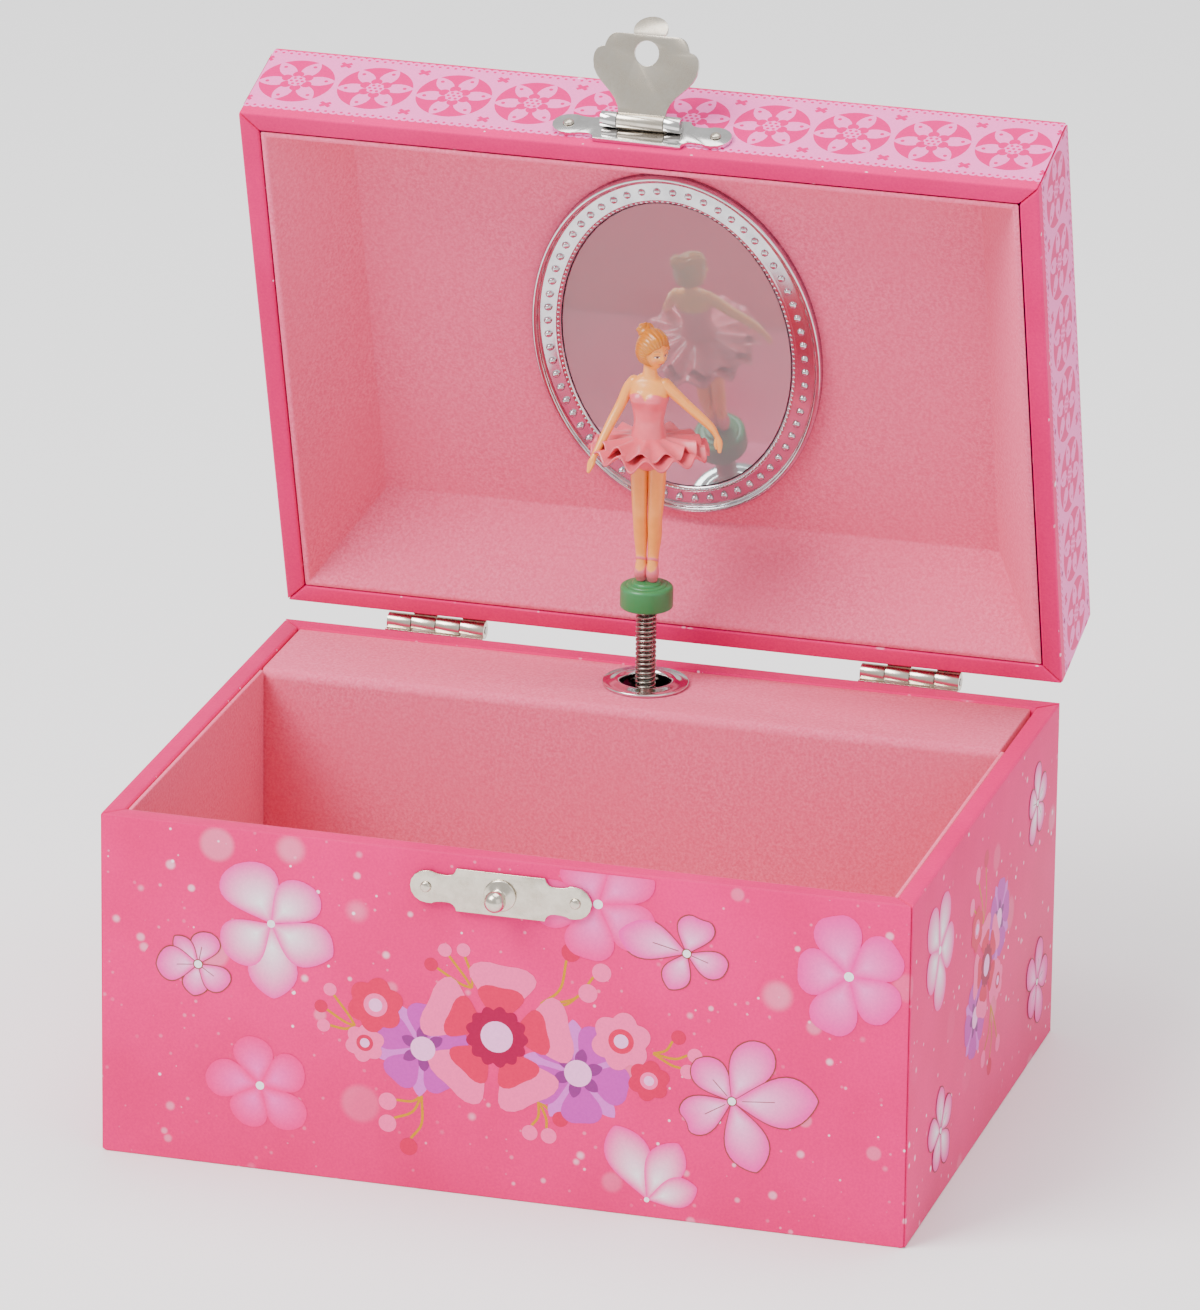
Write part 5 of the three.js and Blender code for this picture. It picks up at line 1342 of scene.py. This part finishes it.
def loops(sheet, start, end, height, pitch=1.52):
    """A border of small pale rings, side by side."""
    for x in np.arange(start + pitch / 2, end, pitch):
        sheet.disc((x, height), 0.56 * pitch, LACE, 0, sides=14)
        sheet.disc((x, height), 0.2 * pitch, LACE_GROUND, 1, sides=8)


def lace_band(face, half, name):
    """One side of the lid: the pale band, its medallions and crosses, and the two borders."""
    sheet = Print(face, lid=True, limits=((-half + 0.25, LID_BOTTOM), (half - 0.25, LID_TOP)))
    middle = (BAND_LOW + BAND_HIGH) / 2
    corners = np.array([[-half, BAND_LOW], [half, BAND_LOW], [half, BAND_HIGH], [-half, BAND_HIGH]])
    sheet.shape(corners, (0, middle), LACE, LACE, 0)
    count = round(2 * half / REPEAT)
    step = 2 * half / count
    for k in range(count):
        medallion(sheet, (-half + (k + 0.5) * step, middle), 7.1)
    for k in range(count + 1):
        for height in (BAND_LOW + 1.9, BAND_HIGH - 1.9):
            cross(sheet, np.array([-half + k * step, height]), 1.15)
    for height in (BAND_LOW - 0.35, BAND_HIGH + 0.35):
        loops(sheet, -half, half, height)
    return sheet.piece(name, "lid", "lace_paper_board")


for face, half in (("front", HALF_WIDTH), ("back", HALF_WIDTH), ("right", BACK), ("left", BACK)):
    print(lace_band(face, half, f"lid_{face}_lace").name)


# %% [markdown]
# ## Mirror and its frame
# The frame is one moulding in silver-plated plastic: a raised outer lip, a groove, a broad flat band with a
# row of beads, and a fine beaded inner edge that holds the glass. Its section is drawn once and swept round
# the oval; each bead is a small dome with a few dozen faces, because there are a great many of them.

# %% Mirror and its frame
FRAME_LOW, FRAME_HIGH = shut_span("mirror_frame")
FRAME_MIDDLE = np.array([0.0, (FRAME_LOW[1] + FRAME_HIGH[1]) / 2])
FRAME_HALF = np.array([FRAME_HIGH[0], (FRAME_HIGH[1] - FRAME_LOW[1]) / 2])
FRAME_Z = (FRAME_LOW[2], FRAME_HIGH[2])
FRAME_FACE = FRAME_Z[0]


def oval(inset, depth, count=120):
    """A ring at a distance inside the frame's outline: each half axis less the inset, at a depth in z."""
    angle = np.linspace(0, 2 * math.pi, count + 1)
    half = FRAME_HALF - inset
    return np.stack([FRAME_MIDDLE[0] + half[0] * np.cos(angle), FRAME_MIDDLE[1] + half[1] * np.sin(angle),
                     np.full_like(angle, depth)], axis=1)


def frame_moulding():
    """The moulding's closed section, swept round the oval: (inset, depth behind the lip) pairs."""
    back = FRAME_Z[1] - FRAME_FACE
    lip = [(0.55 - 0.55 * math.cos(a), 0.5 - 0.5 * math.sin(a)) for a in np.linspace(0, math.pi, 9)]
    groove = [(1.25, 0.75), (1.6, 0.75)]
    band = [(1.9, 0.55), (4.3, 0.45), (4.6, 0.3)]
    inner_edge = [(4.9, 0.22), (5.25, 0.3), (5.6, 0.6), (5.75, 0.95), (5.75, back)]
    section = [(0.0, back), (0.0, 0.55)] + lip + groove + band + inner_edge
    section.append(section[0])
    return open_lid(np.array([oval(inset, FRAME_FACE + depth) for inset, depth in section]))


def bead(place, radius, height):
    """A dome of the given radius and height on the band, looking out of the lid."""
    angle = np.linspace(0, 2 * math.pi, 9)
    rise = np.linspace(0, math.pi / 2, 4)[:, None]
    ring = np.stack([place[0] + radius * np.cos(rise) * np.cos(angle),
                     place[1] + radius * np.cos(rise) * np.sin(angle),
                     place[2] - height * np.sin(rise) + 0 * angle], axis=2)
    return open_lid(ring[:, ::-1])


def beads(inset, depth, spacing, radius, height):
    """Beads at even steps round the oval."""
    line = oval(inset, FRAME_FACE + depth, 720)
    steps = np.cumsum(np.r_[0, np.linalg.norm(np.diff(line, axis=0), axis=1)])
    count = round(steps[-1] / spacing)
    places = [np.interp(np.arange(count) * steps[-1] / count, steps, line[:, k]) for k in range(3)]
    return [bead(place, radius, height) for place in np.stack(places, axis=1)]


moulding = make_piece("mirror_moulding", [frame_moulding()], "lid", SILVERED)
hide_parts("mirror_frame")
make_piece("mirror_frame_beads", beads(3.1, 0.5, 3.0, 0.78, 0.6) + beads(5.2, 0.3, 1.05, 0.3, 0.2),
           "lid", SILVERED, solid=False)
glass = frame["nodes"]["mirror"]
glass.data.materials.clear()
glass.data.materials.append(GLASS)
print("frame half axes:", FRAME_HALF.round(1), "depth:", np.round(FRAME_Z, 1))


# %% [markdown]
# ## Hinges, catch and hasp
# These are stamped and rolled from thin nickel-plated steel sheet. The frame's own shapes are right, so each
# is kept and its edges are rounded by a tenth or so, which is what a stamping tool leaves and what catches
# the light. The hasp's plate has the brighter finish of the eyelet, and the pins are bare bright steel.

# %% Hinges, catch and hasp
for side in ("left", "right"):
    softened(f"hinge_{side}_case_leaf", NICKEL, 0.1, sharp=25)
    softened(f"hinge_{side}_lid_leaf", NICKEL, 0.1, sharp=25)
for node in ("catch_plate", "hasp_plate", "hasp_flap"):
    softened(node, NICKEL if node != "hasp_plate" else CHROME, 0.12, sharp=35)
print("fittings softened")


# %% Knob and nails
def catch_knob():
    """The turned knob: a collar, a waist and a ball, by the radius at each distance from the plate."""
    low, high = span("catch_knob")
    x, z, base = (low[0] + high[0]) / 2, (low[2] + high[2]) / 2, high[1]
    ball = [(2.0 * math.cos(a), 3.4 + 2.0 * math.sin(a)) for a in np.radians(np.linspace(-52, 90, 14))]
    profile = [(0, 0),
               (2.9, 0)] + [(2.6 + 0.4 * math.cos(a),
                             0.3 + 0.3 * math.sin(a)) for a in np.radians(np.linspace(-60, 90, 6))]
    profile += [(2.2, 0.8), (1.5, 1.05), (1.2, 1.3)] + ball[:-1] + [(0, 5.4)]
    flipped = [(radius, -height) for radius, height in profile]
    return revolved(flipped, (x, base, z), axis="Y", sides=48)


knob = make_piece("catch_knob_turned", [catch_knob()], "case", NICKEL)
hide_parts("catch_knob")
for node in ("catch_nail_left", "catch_nail_right", "hasp_nail_left", "hasp_nail_right"):
    softened(node, NICKEL, 0.08, sharp=30)
print("knob and nails on")


# %% [markdown]
# ## Key, screws and the movement
# The key, the screws and the clockwork are already modelled to the last tooth in the frame, so they keep
# their shapes. What they need is their metals: cut brass for the drum and wheels, grey cast zinc for the
# bedplate and spring case, hard bright steel for the comb and pins, and milky nylon for the governor.

# %% Key, screws and the movement
FINISH_OF = {"brass": BRASS, "cast_zinc": ZINC, "steel": BRIGHT_STEEL, "nylon": NYLON, "nickel_plate": NICKEL}
PLAIN = {
    "brass": ("great_wheel", "music_cylinder", "cylinder_arbor"),
    "cast_zinc": ("movement_bedplate", "spring_case", "governor_frame"),
    "steel": ("mainspring", "comb", "comb_screw_1", "comb_screw_2", "winding_arbor", "hinge_left_pin",
              "hinge_right_pin",
              "hasp_pin"),
    "nylon": ("spring_holder", "governor_wheel", "worm_fan"),
}
for slot, nodes in PLAIN.items():
    for node in nodes:
        mesh = frame["nodes"][node].data
        mesh.materials.clear()
        mesh.materials.append(FINISH_OF[slot])
softened("winding_key", NICKEL, 0.3, sharp=35)
for k in (1, 2, 3):
    softened(f"mounting_screw_{k}", BRIGHT_STEEL, 0.12, sharp=35)
finishes = {GLASS, *FINISH_OF.values()}
shown = {name: node for name, node in frame["nodes"].items() if not node.hide_render}
unfinished = [name for name, node in shown.items() if not set(node.data.materials) <= finishes]
if unfinished:
    raise ValueError(f"these pieces have no finish of their own: {unfinished}")
print(len(shown), "pieces keep the frame's shape, each with its own finish")
